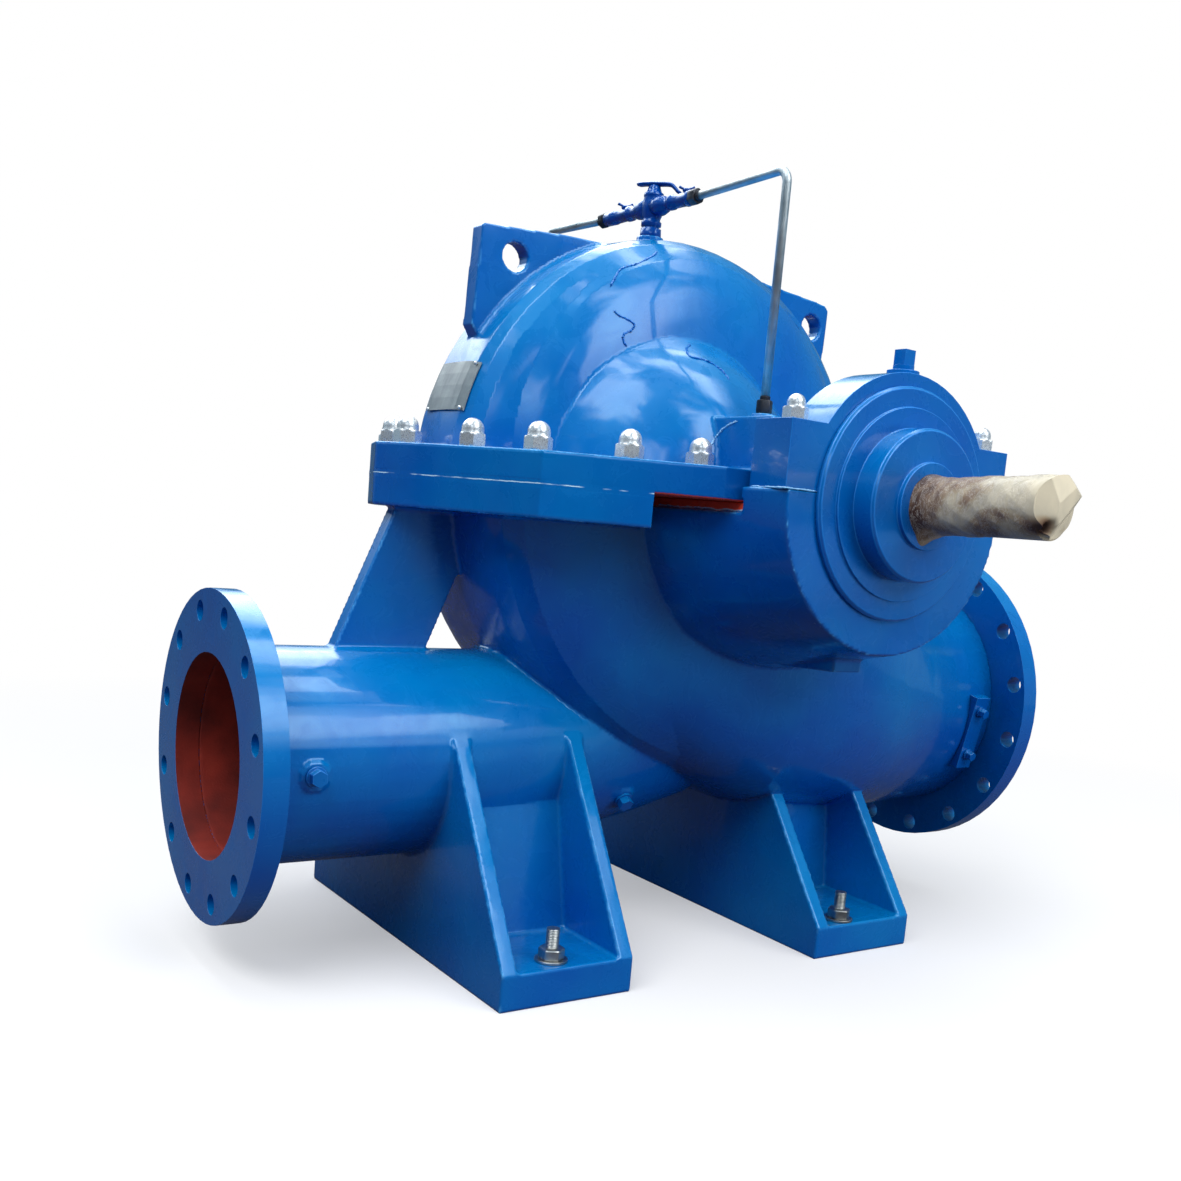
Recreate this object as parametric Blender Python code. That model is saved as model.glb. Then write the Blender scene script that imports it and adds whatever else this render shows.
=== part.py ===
"""Horizontally split double-suction centrifugal water pump, in metres, +Z up.

The shaft runs along Y with its drive end at -Y, the suction branch points along +X and the discharge
branch along -X. The underside of the feet is Z = 0. Every piece is placed from the pump datum, the
point of the base plane under the middle of the shaft, which stands off the origin so that the origin
is under the middle of the whole pump.
"""

import math

import bmesh
import bpy
import numpy as np
from mathutils import Matrix, Vector

# Gap between pieces that touch, the running gap round what turns, and how far cutters overshoot
SEAT_GAP = 0.0003
RUNNING_GAP = 0.0006
OVERCUT = 0.05

# Shaft line, and the two parting levels: the casing parts a little below the shaft
SHAFT_HEIGHT = 0.6306
PARTING_DROP = 0.0146
PARTING_HEIGHT = SHAFT_HEIGHT - PARTING_DROP
BEARING_PARTING_RISE = 0.004
BEARING_PARTING = SHAFT_HEIGHT + BEARING_PARTING_RISE

# Overall reaches, measured from the pump datum
DISCHARGE_REACH = 0.699
SUCTION_REACH = 0.552
DRIVE_REACH = 0.664

# Discharge branch: a 250 mm branch with a 12-hole flange
DISCHARGE_HEIGHT = 0.258
DISCHARGE_FLANGE_RADIUS = 0.2025
DISCHARGE_FLANGE_THICKNESS = 0.030
DISCHARGE_BOLT_CIRCLE = 0.1775
DISCHARGE_HOLES = 12
DISCHARGE_BORE_RADIUS = 0.1255
DISCHARGE_BORE_DEPTH = 0.240
DISCHARGE_PIPE_RADIUS = 0.136
DISCHARGE_NOSE_X = 0.075

# Suction branch: a 350 mm branch with a 16-hole flange
SUCTION_HEIGHT = 0.336
SUCTION_FLANGE_RADIUS = 0.250
SUCTION_FLANGE_THICKNESS = 0.031
SUCTION_BOLT_CIRCLE = 0.230
SUCTION_HOLES = 16
SUCTION_BORE_RADIUS = 0.174
SUCTION_BORE_DEPTH = 0.170
SUCTION_PIPE_RADIUS = 0.187

FLANGE_HOLE_RADIUS = 0.013

# Passages: stations along each branch. Discharge: share of the reach, share of the pipe radius, and
# rise as a share of it. Suction: the same shares for width, underside and top, and the section's power
DISCHARGE_STATIONS = ((-0.515, 1.0, 0.0), (-0.315, 0.98, 0.06), (-0.143, 0.90, 0.14), (0.0, 0.80, 0.22))
DISCHARGE_NOSE = (0.30, 0.52)
SUCTION_STATIONS = ((0.815, 1.01, 0.0, 0.0, 2.0), (0.652, 1.08, -0.02, 0.11, 2.15),
                    (0.471, 1.20, 0.02, 0.27, 2.4), (0.290, 1.27, 0.10, 0.48, 2.7),
                    (0.091, 1.27, 0.18, 0.59, 2.9), (-0.109, 1.20, 0.42, 0.59, 3.0),
                    (-0.290, 1.05, 0.75, 0.59, 3.0))
SUCTION_END = (-0.453, 0.80, 1.18, 0.54, 2.8)

# Lower casing drum, concentric with the shaft
DRUM_RADIUS = 0.402
DRUM_HALF_WIDTH = 0.207
DRUM_POWER = 4.0

# Upper casing: volute crown, suction casing and end domes, each a rounded disc along Y. The suction
# casing is a little taller than it is wide
CROWN_RADIUS = 0.352
CROWN_OFFSET_X = -0.077
CROWN_OFFSET_Z = -0.009
CROWN_HALF_WIDTH = 0.112
CROWN_POWER = 4.0
SHOULDER_RADIUS = 0.315
SHOULDER_OFFSET_X = -0.075
SHOULDER_HALF_WIDTH = 0.140
SHOULDER_POWER = 3.6
SHOULDER_TALL = 1.07
END_DOME_RADIUS = 0.221
END_DOME_OFFSET_X = -0.122
END_DOME_OFFSET_Z = 0.004
END_DOME_HALF_WIDTH = 0.272
END_DOME_POWER = 2.0
DISC_TIP_RADIUS = 0.004

# Gland housings: the boxes over the shaft between the end domes and the bearings
HOUSING_HALF_WIDTH = 0.165
HOUSING_HEIGHT = 0.090

# Split flange: an outline that is waisted toward each bearing bracket
SPLIT_UPPER_THICKNESS = 0.0385
SPLIT_LOWER_THICKNESS = 0.040
SPLIT_LEFT_MIDDLE = -0.5045
SPLIT_LEFT_SIDE = (-0.480, 0.070)
SPLIT_LEFT_CORNER = (-0.400, 0.232)
SPLIT_END = (0.222, 0.348)
SPLIT_RIGHT_CORNER = (0.330, 0.232)
SPLIT_RIGHT_SIDE = (0.400, 0.070)
SPLIT_RIGHT_MIDDLE = 0.420

# Jacking notches: a shallow strip of the lower flange beside each bearing, cut down from the joint
NOTCH_SHARE = 0.62
NOTCH_ROOT = (0.232, 0.200)
NOTCH_DEPTH = 0.010
NOTCH_HEIGHT = 0.0125

# Bearing brackets and bearing housings, the same at both ends
BEARING_FACE_Y = 0.417
BEARING_BLOCK_LENGTH = 0.063
BRACKET_RADIUS = 0.186
BRACKET_ROOT_RADIUS = 0.236
BRACKET_ROOT_Y = 0.190
LEDGE_HALF_WIDTH = 0.190
LEDGE_HEIGHT = 0.083
CAP_RADIUS = 0.158
CAP_BOSS_RADIUS = 0.020
CAP_BOSS_RISE = 0.006
BRACKET_RIB_WIDTH = 0.050
BRACKET_RIB_START = (0.360, 0.214)
BRACKET_RIB_END = (0.150, 0.2255)

# End covers: a rim, a step and a boss, and at the drive end a lip round the shaft
COVER_RADIUS = 0.142
COVER_RIM = 0.008
COVER_STEP_RADIUS = 0.117
COVER_STEP = 0.012
COVER_BOSS_RADIUS = 0.092
COVER_REACH = 0.043
COVER_EDGE = 0.003
COVER_LIP_RADIUS = 0.052
COVER_LIP = 0.006

# Shaft and its wrapping
SHAFT_RADIUS = 0.030
SHAFT_POCKET_DEPTH = 0.080
SHAFT_END_GAP = 0.003
SHAFT_END_COVERED = 0.030
WRAP_THICKNESS = 0.005
WRAP_GAP = 0.0055
WRAP_FLARE_RADIUS = 0.041
WRAP_FLARE_LENGTH = 0.030
WRAP_END_SHARE = 0.55
WRAP_END_LENGTH = 0.012

# Feet: two gussets, a leaning cross wall and a base at each end
FOOT_HALF_LENGTH = 0.290
FOOT_WALL = 0.022
FOOT_BASE = 0.045
DISCHARGE_FOOT_X = (-0.435, -0.246)
DISCHARGE_FOOT_RISE = 0.058
DISCHARGE_FOOT_TOP = (0.120, DISCHARGE_HEIGHT + DISCHARGE_FOOT_RISE)
DISCHARGE_WALL_Y = (0.162, 0.100)
DISCHARGE_STUD = (-0.3505, 0.2614)
SUCTION_FOOT_X = (0.0725, 0.258)
SUCTION_FOOT_DROP = 0.089
SUCTION_FOOT_TOP = (0.140, SUCTION_HEIGHT - SUCTION_FOOT_DROP)
SUCTION_WALL_Y = (0.135, 0.110)
SUCTION_STUD = (0.1338, 0.2673)

# Hold-down studs with washers and nuts
WASHER_RADIUS = 0.021
WASHER_THICKNESS = 0.003
NUT_RADIUS = 0.0165
NUT_HEIGHT = 0.015
STUD_RADIUS = 0.0085
STUD_HEIGHT = 0.0415

# Web plate between the discharge branch and the split flange. Its foot reaches to a share of the
# branch, its head to an inset from the flange's edge, and the heights are shares of the way from the
# top of the branch to the underside of the flange
WEB_THICKNESS = 0.026
WEB_FOOT_SHARE = 0.806
WEB_HEAD_INSET = 0.0283
WEB_GAP_FOOT_X = -0.4377
WEB_GAP_TOP_X = -0.3849
WEB_INNER_X = -0.300
WEB_FOOT_DEPTH = 0.038
WEB_GAP_TOP_SHARE = 0.534
WEB_INNER_SHARE = 0.90

# Lifting lugs: outlines and holes as shares of the crown's radius, from the crown's centre
LUG_THICKNESS = 0.027
LUG_HOLE_RADIUS = 0.019
DISCHARGE_LUG = ((-0.838, 0.479), (-0.886, 0.550), (-0.870, 0.909), (-0.845, 0.912), (-0.520, 0.938),
                 (-0.310, 0.945), (-0.310, 0.724))
DISCHARGE_LUG_HOLE = (-0.724, 0.818)
SUCTION_LUG = ((0.800, 0.416), (0.861, 0.678), (0.869, 0.891), (0.849, 0.911), (0.801, 0.919),
               (0.389, 0.953), (0.389, 0.500))
SUCTION_LUG_HOLE = (0.776, 0.808)

# Vent fitting on the crown: nipple, body, two arms along Y, and a cock lever on its stem
VENT_X = -0.113
VENT_BOSS_RADIUS = 0.019
VENT_BOSS_RISE = 0.0075
VENT_NIPPLE_RADIUS = 0.013
VENT_BODY_RADIUS = 0.017
VENT_BODY_HALF_HEIGHT = 0.018
VENT_ARM_RISE = 0.040
VENT_STEM_RADIUS = 0.009
VENT_STEM_RISE = 0.030
VENT_ARM_RADIUS = 0.0105
VENT_ARM_DRIVE = 0.085
VENT_ARM_FAR = 0.115
VENT_NUT_DRIVE = 0.1157
VENT_NUT_FAR = 0.136
LEVER_TURN = -54.0
LEVER_TAIL = 0.025
LEVER_REACH = 0.035
LEVER_WIDTH = 0.014
LEVER_THICKNESS = 0.0055
LEVER_HOOK = 0.0195

# Flush tubes from the vent fitting to a screwed joint on each gland housing
TUBE_RADIUS = 0.0058
TUBE_BEND = 0.020
FLUSH_Y = 0.278
FLUSH_BOSS_RADIUS = 0.0145
FLUSH_BOSS_RISE = 0.009
TUBE_NUT_RADIUS = 0.0125
TUBE_NUT_HEIGHT = 0.021

# Screwed plugs: collar and head
PLUG_COLLAR_RADIUS = 0.013
PLUG_COLLAR = 0.006
GREASE_PLUG_X = 0.012
GREASE_HEAD = 0.018
GREASE_HEAD_HEIGHT = 0.019
PLUG_BOSS_RADIUS = 0.0175
PLUG_HEAD_RADIUS = 0.0105
PLUG_HEAD = 0.010
PLUG_BOSS_RISE = 0.003
DISCHARGE_PLUG_SHARE = 0.8784
DRAIN_PLUG_X = -0.151
DRAIN_SLOPE = 34.0
DRAIN_RADIUS = 0.1265
DRAIN_RISE = 0.0146

# Gauge pad on the side of the suction branch, with its two plugs
PAD_SHARE = 0.8714
PAD_WIDTH = 0.032
PAD_LENGTH = 0.122
PAD_RISE = 0.007
PAD_SLOPE = 12.0
GAUGE_PLUG_SPACING = 0.074
GAUGE_PLUG_RADIUS = 0.0095

# Nameplate wrapped round the rim of the crown: its span along Y and its start and end angles
NAMEPLATE_Y = (-0.057, 0.037)
NAMEPLATE_ANGLES = (155.9, 166.7)
NAMEPLATE_THICKNESS = 0.0015
NAMEPLATE_GAP = 0.0008

PARTS_NAME = "double_suction_pump"


def clear_scene():
    for old in list(bpy.data.objects):
        bpy.data.objects.remove(old, do_unlink=True)


def new_collection(name):
    collection = bpy.data.collections.new(name)
    bpy.context.scene.collection.children.link(collection)
    return collection


def new_material(name, color, roughness, metallic):
    material = bpy.data.materials.new(name)
    material.use_nodes = True
    shader = material.node_tree.nodes["Principled BSDF"]
    shader.inputs["Base Color"].default_value = (*color, 1.0)
    shader.inputs["Roughness"].default_value = roughness
    shader.inputs["Metallic"].default_value = metallic
    return material


clear_scene()
PARTS = new_collection(PARTS_NAME)
DATUM = bpy.data.objects.new("pump_datum", None)
PARTS.objects.link(DATUM)
FAR_REACH = BEARING_FACE_Y + COVER_REACH
DATUM.location = ((DISCHARGE_REACH - SUCTION_REACH) / 2, (DRIVE_REACH - FAR_REACH) / 2, 0)

BLUE = new_material("blue_enamel", (0.0, 0.098, 0.434), 0.25, 0.0)
SILVER = new_material("plated_steel", (0.62, 0.62, 0.60), 0.30, 1.0)
GREY = new_material("steel_tube", (0.28, 0.29, 0.28), 0.45, 0.9)
DARK = new_material("black_steel", (0.05, 0.05, 0.055), 0.45, 0.6)
PAPER = new_material("wrapping_paper", (0.45, 0.31, 0.19), 0.65, 0.0)
PLATE = new_material("bare_plate", (0.60, 0.58, 0.54), 0.35, 0.9)


def finish(obj, name, material):
    """Name an object, give it its material and hang it on the pump datum."""
    obj.name = name
    obj.data.name = name
    obj.data.materials.clear()
    obj.data.materials.append(material)
    obj.parent = DATUM
    obj.data.shade_smooth()
    obj.data.set_sharp_from_angle(angle=math.radians(35))
    return obj


def mesh_object(name, build):
    """A new object in the parts collection whose mesh the function build fills."""
    bm = bmesh.new()
    build(bm)
    bmesh.ops.recalc_face_normals(bm, faces=bm.faces)
    mesh = bpy.data.meshes.new(name)
    bm.to_mesh(mesh)
    bm.free()
    obj = bpy.data.objects.new(name, mesh)
    PARTS.objects.link(obj)
    return obj


def skin(bm, rings, split=False):
    """Join closed rings of points in order, and close the first and last with a face.

    On a free form, split cuts every twisted quad along the same diagonal, so that a shell grown by a
    gap keeps that gap all over.
    """
    loops = [[bm.verts.new(point) for point in ring] for ring in rings]
    count = len(loops[0])
    for near, far in zip(loops, loops[1:]):
        for i in range(count):
            j = (i + 1) % count
            if split:
                bm.faces.new((near[i], near[j], far[j]))
                bm.faces.new((near[i], far[j], far[i]))
            else:
                bm.faces.new((near[i], near[j], far[j], far[i]))
    bm.faces.new(loops[0][::-1])
    bm.faces.new(loops[-1])


def lofted(name, rings, split=False):
    return mesh_object(name, lambda bm: skin(bm, rings, split))


def circle_points(radius, count, turn=0.0):
    angles = np.arange(count) * 2 * math.pi / count + turn
    return np.stack((radius * np.cos(angles), radius * np.sin(angles)), axis=1)


def turned(name, profile, place, axis, count):
    """A solid turned about a line: profile lists (distance along the axis from place, radius)."""
    axis = Vector(axis).normalized()
    upright = Vector((0, 1, 0)) if abs(axis.z) > 0.9 else Vector((0, 0, 1))
    side = upright.cross(axis).normalized()
    other = axis.cross(side)
    place = Vector(place)
    unit = circle_points(1.0, count, math.pi / count)
    rings = [[place + axis * along + (side * a + other * b) * radius for a, b in unit]
             for along, radius in profile]
    return lofted(name, rings)


def turned_x(name, profile, height, count=48, y=0.0):
    return turned(name, profile, (0, y, height), (1, 0, 0), count)


def turned_y(name, profile, count=48, centre=(0.0, SHAFT_HEIGHT)):
    return turned(name, profile, (centre[0], 0, centre[1]), (0, 1, 0), count)


def turned_z(name, profile, place, count=24):
    return turned(name, profile, (*place, 0), (0, 0, 1), count)


def box(name, low, high):
    def build(bm):
        bmesh.ops.create_cube(bm, size=1.0)
        size = Vector(high) - Vector(low)
        middle = (Vector(high) + Vector(low)) / 2
        bmesh.ops.scale(bm, vec=size, verts=bm.verts)
        bmesh.ops.translate(bm, vec=middle, verts=bm.verts)
    return mesh_object(name, build)


def plate_xy(name, outline, low, high):
    """A level plate: an outline of (x, y) points raised from low to high."""
    return lofted(name, [[(x, y, z) for x, y in outline] for z in (low, high)])


def plate_xz(name, outline, near, far):
    """An upright plate across Y: an outline of (x, z) points carried from near to far."""
    return lofted(name, [[(x, y, z) for x, z in outline] for y in (near, far)])


def plate_yz(name, outline, near, far):
    """An upright plate across X: an outline of (y, z) points carried from near to far."""
    return lofted(name, [[(x, y, z) for y, z in outline] for x in (near, far)])


def combine(target, tools, operation):
    """Cut or join meshes into target with exact Booleans, applied in turn."""
    for tool in tools:
        modifier = target.modifiers.new("combine", "BOOLEAN")
        modifier.operation = operation
        modifier.solver = "EXACT"
        modifier.object = tool
        depsgraph = bpy.context.evaluated_depsgraph_get()
        result = bpy.data.meshes.new_from_object(target.evaluated_get(depsgraph))
        target.modifiers.clear()
        target.data = result
        bpy.data.objects.remove(tool, do_unlink=True)
    return target


def join(target, *tools):
    return combine(target, tools, "UNION")


def cut(target, *tools):
    return combine(target, tools, "DIFFERENCE")


def keep(target, *tools):
    return combine(target, tools, "INTERSECT")


def mirrored_y(obj, name):
    """A copy of an object on the other side of the XZ plane, at the far end of the shaft."""
    other = bpy.data.objects.new(name, obj.data.copy())
    PARTS.objects.link(other)
    other.data.transform(Matrix.Scale(-1, 4, (0, 1, 0)))
    other.data.flip_normals()
    return other


def disc_radius(share, power):
    """Share of a rounded disc's radius that is left at a share of its half width."""
    return max(1.0 - abs(share) ** power, 0.0) ** (1.0 / power)


def rounded_disc(name, radius, half_width, power, offset=(0.0, 0.0), grow=0.0, tall=1.0, steps=9):
    """A disc along Y whose section is a superellipse: flat in the middle, rounded at the shoulders."""
    shares = [math.copysign(abs(math.sin(a)) ** (2 / power), a)
              for a in np.linspace(-math.pi / 2, math.pi / 2, 2 * steps + 1)]
    profile = [(share * (half_width + grow),
                max(disc_radius(share, power) * (radius + grow), DISC_TIP_RADIUS)) for share in shares]
    middle = SHAFT_HEIGHT + offset[1]
    disc = turned_y(name, profile, 72, (offset[0], middle))
    disc.data.transform(Matrix.Translation((0, 0, middle * (1 - tall))) @ Matrix.Scale(tall, 4, (0, 0, 1)))
    return disc


def crown(name, grow=0.0):
    return rounded_disc(name, CROWN_RADIUS, CROWN_HALF_WIDTH, CROWN_POWER,
                        (CROWN_OFFSET_X, CROWN_OFFSET_Z), grow)


def drum(name, grow=0.0):
    return rounded_disc(name, DRUM_RADIUS, DRUM_HALF_WIDTH, DRUM_POWER, grow=grow)


def drum_shell(name):
    return drum(name, SEAT_GAP)


def shoulder(name, grow=0.0):
    return rounded_disc(name, SHOULDER_RADIUS, SHOULDER_HALF_WIDTH, SHOULDER_POWER,
                        (SHOULDER_OFFSET_X, 0.0), grow, tall=SHOULDER_TALL)


def casing_top(x):
    """Height of the upper casing on the centre plane: the crown, or the shoulder if that is higher."""
    crown_rise = math.sqrt(CROWN_RADIUS ** 2 - (x - CROWN_OFFSET_X) ** 2)
    shoulder_rise = SHOULDER_TALL * math.sqrt(SHOULDER_RADIUS ** 2 - (x - SHOULDER_OFFSET_X) ** 2)
    return SHAFT_HEIGHT + max(CROWN_OFFSET_Z + crown_rise, shoulder_rise)


def oval_ring(x, half_width, low, high, power, count=44):
    """A superellipse in the YZ plane at x, between two heights."""
    angles = np.arange(count) * 2 * math.pi / count + math.pi / count
    cosine, sine = np.cos(angles), np.sin(angles)
    y = np.sign(cosine) * np.abs(cosine) ** (2 / power) * half_width
    z = (low + high) / 2 + np.sign(sine) * np.abs(sine) ** (2 / power) * (high - low) / 2
    return [(x, a, b) for a, b in zip(y, z)]


def split_outline(corner):
    """Outline of a split flange: its front half, mirrored in Y. The function corner lists the points
    that it takes at the end of each slanted side, from (x, y) at the start of that side."""
    front = [(SPLIT_LEFT_MIDDLE, 0.0), (SPLIT_LEFT_SIDE[0], -SPLIT_LEFT_SIDE[1])]
    front += [(x, -y) for x, y in corner(SPLIT_LEFT_CORNER)]
    front += [(x, -y) for x, y in corner(SPLIT_RIGHT_CORNER)[::-1]]
    front += [(SPLIT_RIGHT_SIDE[0], -SPLIT_RIGHT_SIDE[1]), (SPLIT_RIGHT_MIDDLE, 0.0)]
    back = [(x, -y) for x, y in front[-2:0:-1]]
    return front + back


def full_corner(start):
    """The upper flange runs on to the bearing housing."""
    return [start, (math.copysign(SPLIT_END[0], start[0]), SPLIT_END[1])]


def notched_corner(start):
    """The lower flange stops part of the way along, and turns back to the volute."""
    end = Vector(full_corner(start)[1])
    stop = Vector(start).lerp(end, NOTCH_SHARE)
    return [start, tuple(stop), (math.copysign(NOTCH_ROOT[0], start[0]), NOTCH_ROOT[1])]


def jacking_notch(side_x, side_y):
    """Cutter for the gap between the upper flange and the bracket, up to a wall inside the bracket."""
    start = SPLIT_LEFT_CORNER if side_x < 0 else SPLIT_RIGHT_CORNER
    stop, root = notched_corner(start)[1:]
    block = BEARING_FACE_Y - BEARING_BLOCK_LENGTH
    wall = [(side_x * (bracket_radius(y) - NOTCH_DEPTH), y) for y in (root[1], block)]
    outline = [(x, y * side_y) for x, y in (*wall, (stop[0], block), stop, root)]
    low = PARTING_HEIGHT - NOTCH_HEIGHT
    return plate_xy("notch", outline, low, PARTING_HEIGHT + NOTCH_HEIGHT)


def half_space(name, low, high):
    """A block that holds everything between two heights."""
    reach = DISCHARGE_REACH + SUCTION_REACH
    return box(name, (-reach, -reach, low), (reach, reach, high))


def discharge_passage(name, grow=0.0):
    """The discharge branch and the rising nose of its passage under the drum."""
    back = -DISCHARGE_REACH + DISCHARGE_FLANGE_THICKNESS + SEAT_GAP - grow
    stations = [(back, 1.0, 0.0)]
    stations += [(x * DISCHARGE_REACH, radius, rise) for x, radius, rise in DISCHARGE_STATIONS]
    stations.append((DISCHARGE_NOSE_X + grow, *DISCHARGE_NOSE))
    unit = circle_points(1.0, 44, math.pi / 44)
    rings = []
    for x, share, rise in stations:
        radius = share * DISCHARGE_PIPE_RADIUS + grow
        middle = DISCHARGE_HEIGHT + rise * DISCHARGE_PIPE_RADIUS
        rings.append([(x, a * radius, middle + b * radius) for a, b in unit])
    return lofted(name, rings, split=True)


def suction_passage(name, grow=0.0):
    """The suction branch, spreading from its flange into the two side passages under the drum."""
    pipe = SUCTION_PIPE_RADIUS
    front = SUCTION_REACH - SUCTION_FLANGE_THICKNESS - SEAT_GAP + grow
    stations = [(front, 1.0, 0.0, 0.0, 2.0)]
    stations += [(x * SUCTION_REACH, *rest) for x, *rest in SUCTION_STATIONS]
    stations.append((SUCTION_END[0] * SUCTION_REACH - grow, *SUCTION_END[1:]))
    rings = [oval_ring(x, width * pipe + grow, SUCTION_HEIGHT - pipe + under * pipe - grow,
                       SUCTION_HEIGHT + pipe + over * pipe + grow, power)
             for x, width, under, over, power in stations]
    return lofted(name, rings[::-1], split=True)


def bracket_radius(y):
    """Radius of the bearing bracket at a distance along the shaft."""
    slope = (BRACKET_ROOT_RADIUS - BRACKET_RADIUS) / (BEARING_FACE_Y - BRACKET_ROOT_Y)
    return BRACKET_RADIUS + slope * (BEARING_FACE_Y - y)


def bracket_cone(name, start):
    """Bearing bracket at the drive end: a cone that widens from the bearing face to the casing."""
    return turned_y(name, [(-BEARING_FACE_Y, BRACKET_RADIUS), (-start, bracket_radius(start))], 60)


def bracket_rib():
    """The rib under the drive-end bracket: from (y, depth below the shaft) at its start to its end."""
    half = BRACKET_RIB_WIDTH / 2
    start, end = BRACKET_RIB_START, BRACKET_RIB_END
    top = SHAFT_HEIGHT - BRACKET_RADIUS
    outline = [(-start[0], SHAFT_HEIGHT - start[1]), (-end[0], SHAFT_HEIGHT - end[1]), (-end[0], top),
               (-start[0], top)]
    return plate_yz("rib", outline, -half, half)


def shaft_pocket(name):
    """Room for the shaft end inside the drive-end bearing housing."""
    radius = SHAFT_RADIUS + RUNNING_GAP
    return turned_y(name, [(-BEARING_FACE_Y - OVERCUT, radius),
                           (-BEARING_FACE_Y + SHAFT_POCKET_DEPTH, radius)])


def bearing_blocks():
    """The lower halves of the two bearing housings, which rise past the joint of the casing."""
    drive = bracket_cone("block_drive", BEARING_FACE_Y - BEARING_BLOCK_LENGTH)
    keep(drive, half_space("block_height", PARTING_HEIGHT - SPLIT_LOWER_THICKNESS,
                           BEARING_PARTING - SEAT_GAP / 2))
    return drive, mirrored_y(drive, "block_far")


def drain_axis():
    """Where the drain plug's boss stands on the discharge passage, and the way it points."""
    slope = math.radians(DRAIN_SLOPE)
    out = Vector((0, -math.cos(slope), -math.sin(slope)))
    middle = Vector((DRAIN_PLUG_X, 0, DISCHARGE_HEIGHT + DRAIN_RISE))
    return middle + out * DRAIN_RADIUS, out


def discharge_plug_axis():
    x = -DISCHARGE_PLUG_SHARE * DISCHARGE_REACH
    return (x, -DISCHARGE_PIPE_RADIUS, DISCHARGE_HEIGHT), (0, -1, 0)


def plug_boss(place, axis):
    return turned("plug_boss", [(-PLUG_BOSS_RISE, PLUG_BOSS_RADIUS), (PLUG_BOSS_RISE, PLUG_BOSS_RADIUS)],
                  place, axis, 20)


def lower_casing():
    body = drum("lower_casing")
    drive = bracket_cone("bracket_drive", FOOT_WALL)
    far = mirrored_y(drive, "bracket_far")
    join(body, suction_passage("suction_passage"), drive, far)
    keep(body, half_space("below", -OVERCUT, PARTING_HEIGHT - SEAT_GAP / 2))
    flange = plate_xy("flange", split_outline(notched_corner), PARTING_HEIGHT - SPLIT_LOWER_THICKNESS,
                      PARTING_HEIGHT - SEAT_GAP / 2)
    rib = bracket_rib()
    join(body, flange, discharge_passage("discharge_passage"), mirrored_y(rib, "rib_far"), rib)
    cut(body, *[jacking_notch(x, y) for x in (-1, 1) for y in (-1, 1)])
    join(body, *bearing_blocks())
    join(body, plug_boss(*drain_axis()), plug_boss(*discharge_plug_axis()))
    bore = turned_x("bore", [(-DISCHARGE_REACH - OVERCUT, DISCHARGE_BORE_RADIUS),
                             (-DISCHARGE_REACH + DISCHARGE_BORE_DEPTH, DISCHARGE_BORE_RADIUS)],
                    DISCHARGE_HEIGHT)
    inlet = turned_x("inlet", [(SUCTION_REACH - SUCTION_BORE_DEPTH, SUCTION_BORE_RADIUS),
                               (SUCTION_REACH + OVERCUT, SUCTION_BORE_RADIUS)], SUCTION_HEIGHT)
    cut(body, bore, inlet, shaft_pocket("pocket"))
    return finish(body, "lower_casing", BLUE)


def upper_casing():
    body = crown("upper_casing")
    dome = rounded_disc("dome", END_DOME_RADIUS, END_DOME_HALF_WIDTH, END_DOME_POWER,
                        (END_DOME_OFFSET_X, END_DOME_OFFSET_Z))
    end = BEARING_FACE_Y - BEARING_BLOCK_LENGTH - SEAT_GAP
    housing = box("housing", (-HOUSING_HALF_WIDTH, -end, PARTING_HEIGHT),
                  (HOUSING_HALF_WIDTH, end, SHAFT_HEIGHT + HOUSING_HEIGHT))
    join(body, shoulder("shoulder"), dome)
    low = PARTING_HEIGHT + SEAT_GAP / 2
    keep(body, half_space("above", low, PARTING_HEIGHT + DISCHARGE_REACH))
    flange = plate_xy("flange", split_outline(full_corner), low, PARTING_HEIGHT + SPLIT_UPPER_THICKNESS)
    keep(housing, half_space("above", low, PARTING_HEIGHT + DISCHARGE_REACH))
    join(body, housing, flange)
    top = casing_top(VENT_X) + VENT_BOSS_RISE
    join(body, turned_z("vent_boss", [(top - VENT_BOSS_RADIUS, VENT_BOSS_RADIUS), (top, VENT_BOSS_RADIUS)],
                        (VENT_X, 0.0)))
    shelf = SHAFT_HEIGHT + HOUSING_HEIGHT
    for side in (-1, 1):
        join(body, turned_z("boss", [(shelf - FLUSH_BOSS_RISE, FLUSH_BOSS_RADIUS),
                                     (shelf + FLUSH_BOSS_RISE, FLUSH_BOSS_RADIUS)], (VENT_X, side * FLUSH_Y)))
    cut(body, shaft_pocket("pocket"))
    return finish(body, "upper_casing", BLUE)


def bearing_cap():
    """Upper half of the drive-end bearing housing: a half-round with a bolting ear on each side."""
    back = -BEARING_FACE_Y + BEARING_BLOCK_LENGTH
    cap = turned_y("cap", [(-BEARING_FACE_Y, CAP_RADIUS), (back, CAP_RADIUS)], 60)
    ears = box("ears", (-LEDGE_HALF_WIDTH, -BEARING_FACE_Y, SHAFT_HEIGHT),
               (LEDGE_HALF_WIDTH, back, SHAFT_HEIGHT + LEDGE_HEIGHT))
    top = SHAFT_HEIGHT + CAP_RADIUS + CAP_BOSS_RISE
    boss = turned_z("boss", [(SHAFT_HEIGHT + LEDGE_HEIGHT, CAP_BOSS_RADIUS), (top, CAP_BOSS_RADIUS)],
                    (GREASE_PLUG_X, (back - BEARING_FACE_Y) / 2))
    join(cap, ears, boss)
    keep(cap, half_space("above", BEARING_PARTING + SEAT_GAP / 2, PARTING_HEIGHT + DISCHARGE_REACH))
    return cut(cap, shaft_pocket("pocket"))


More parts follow.
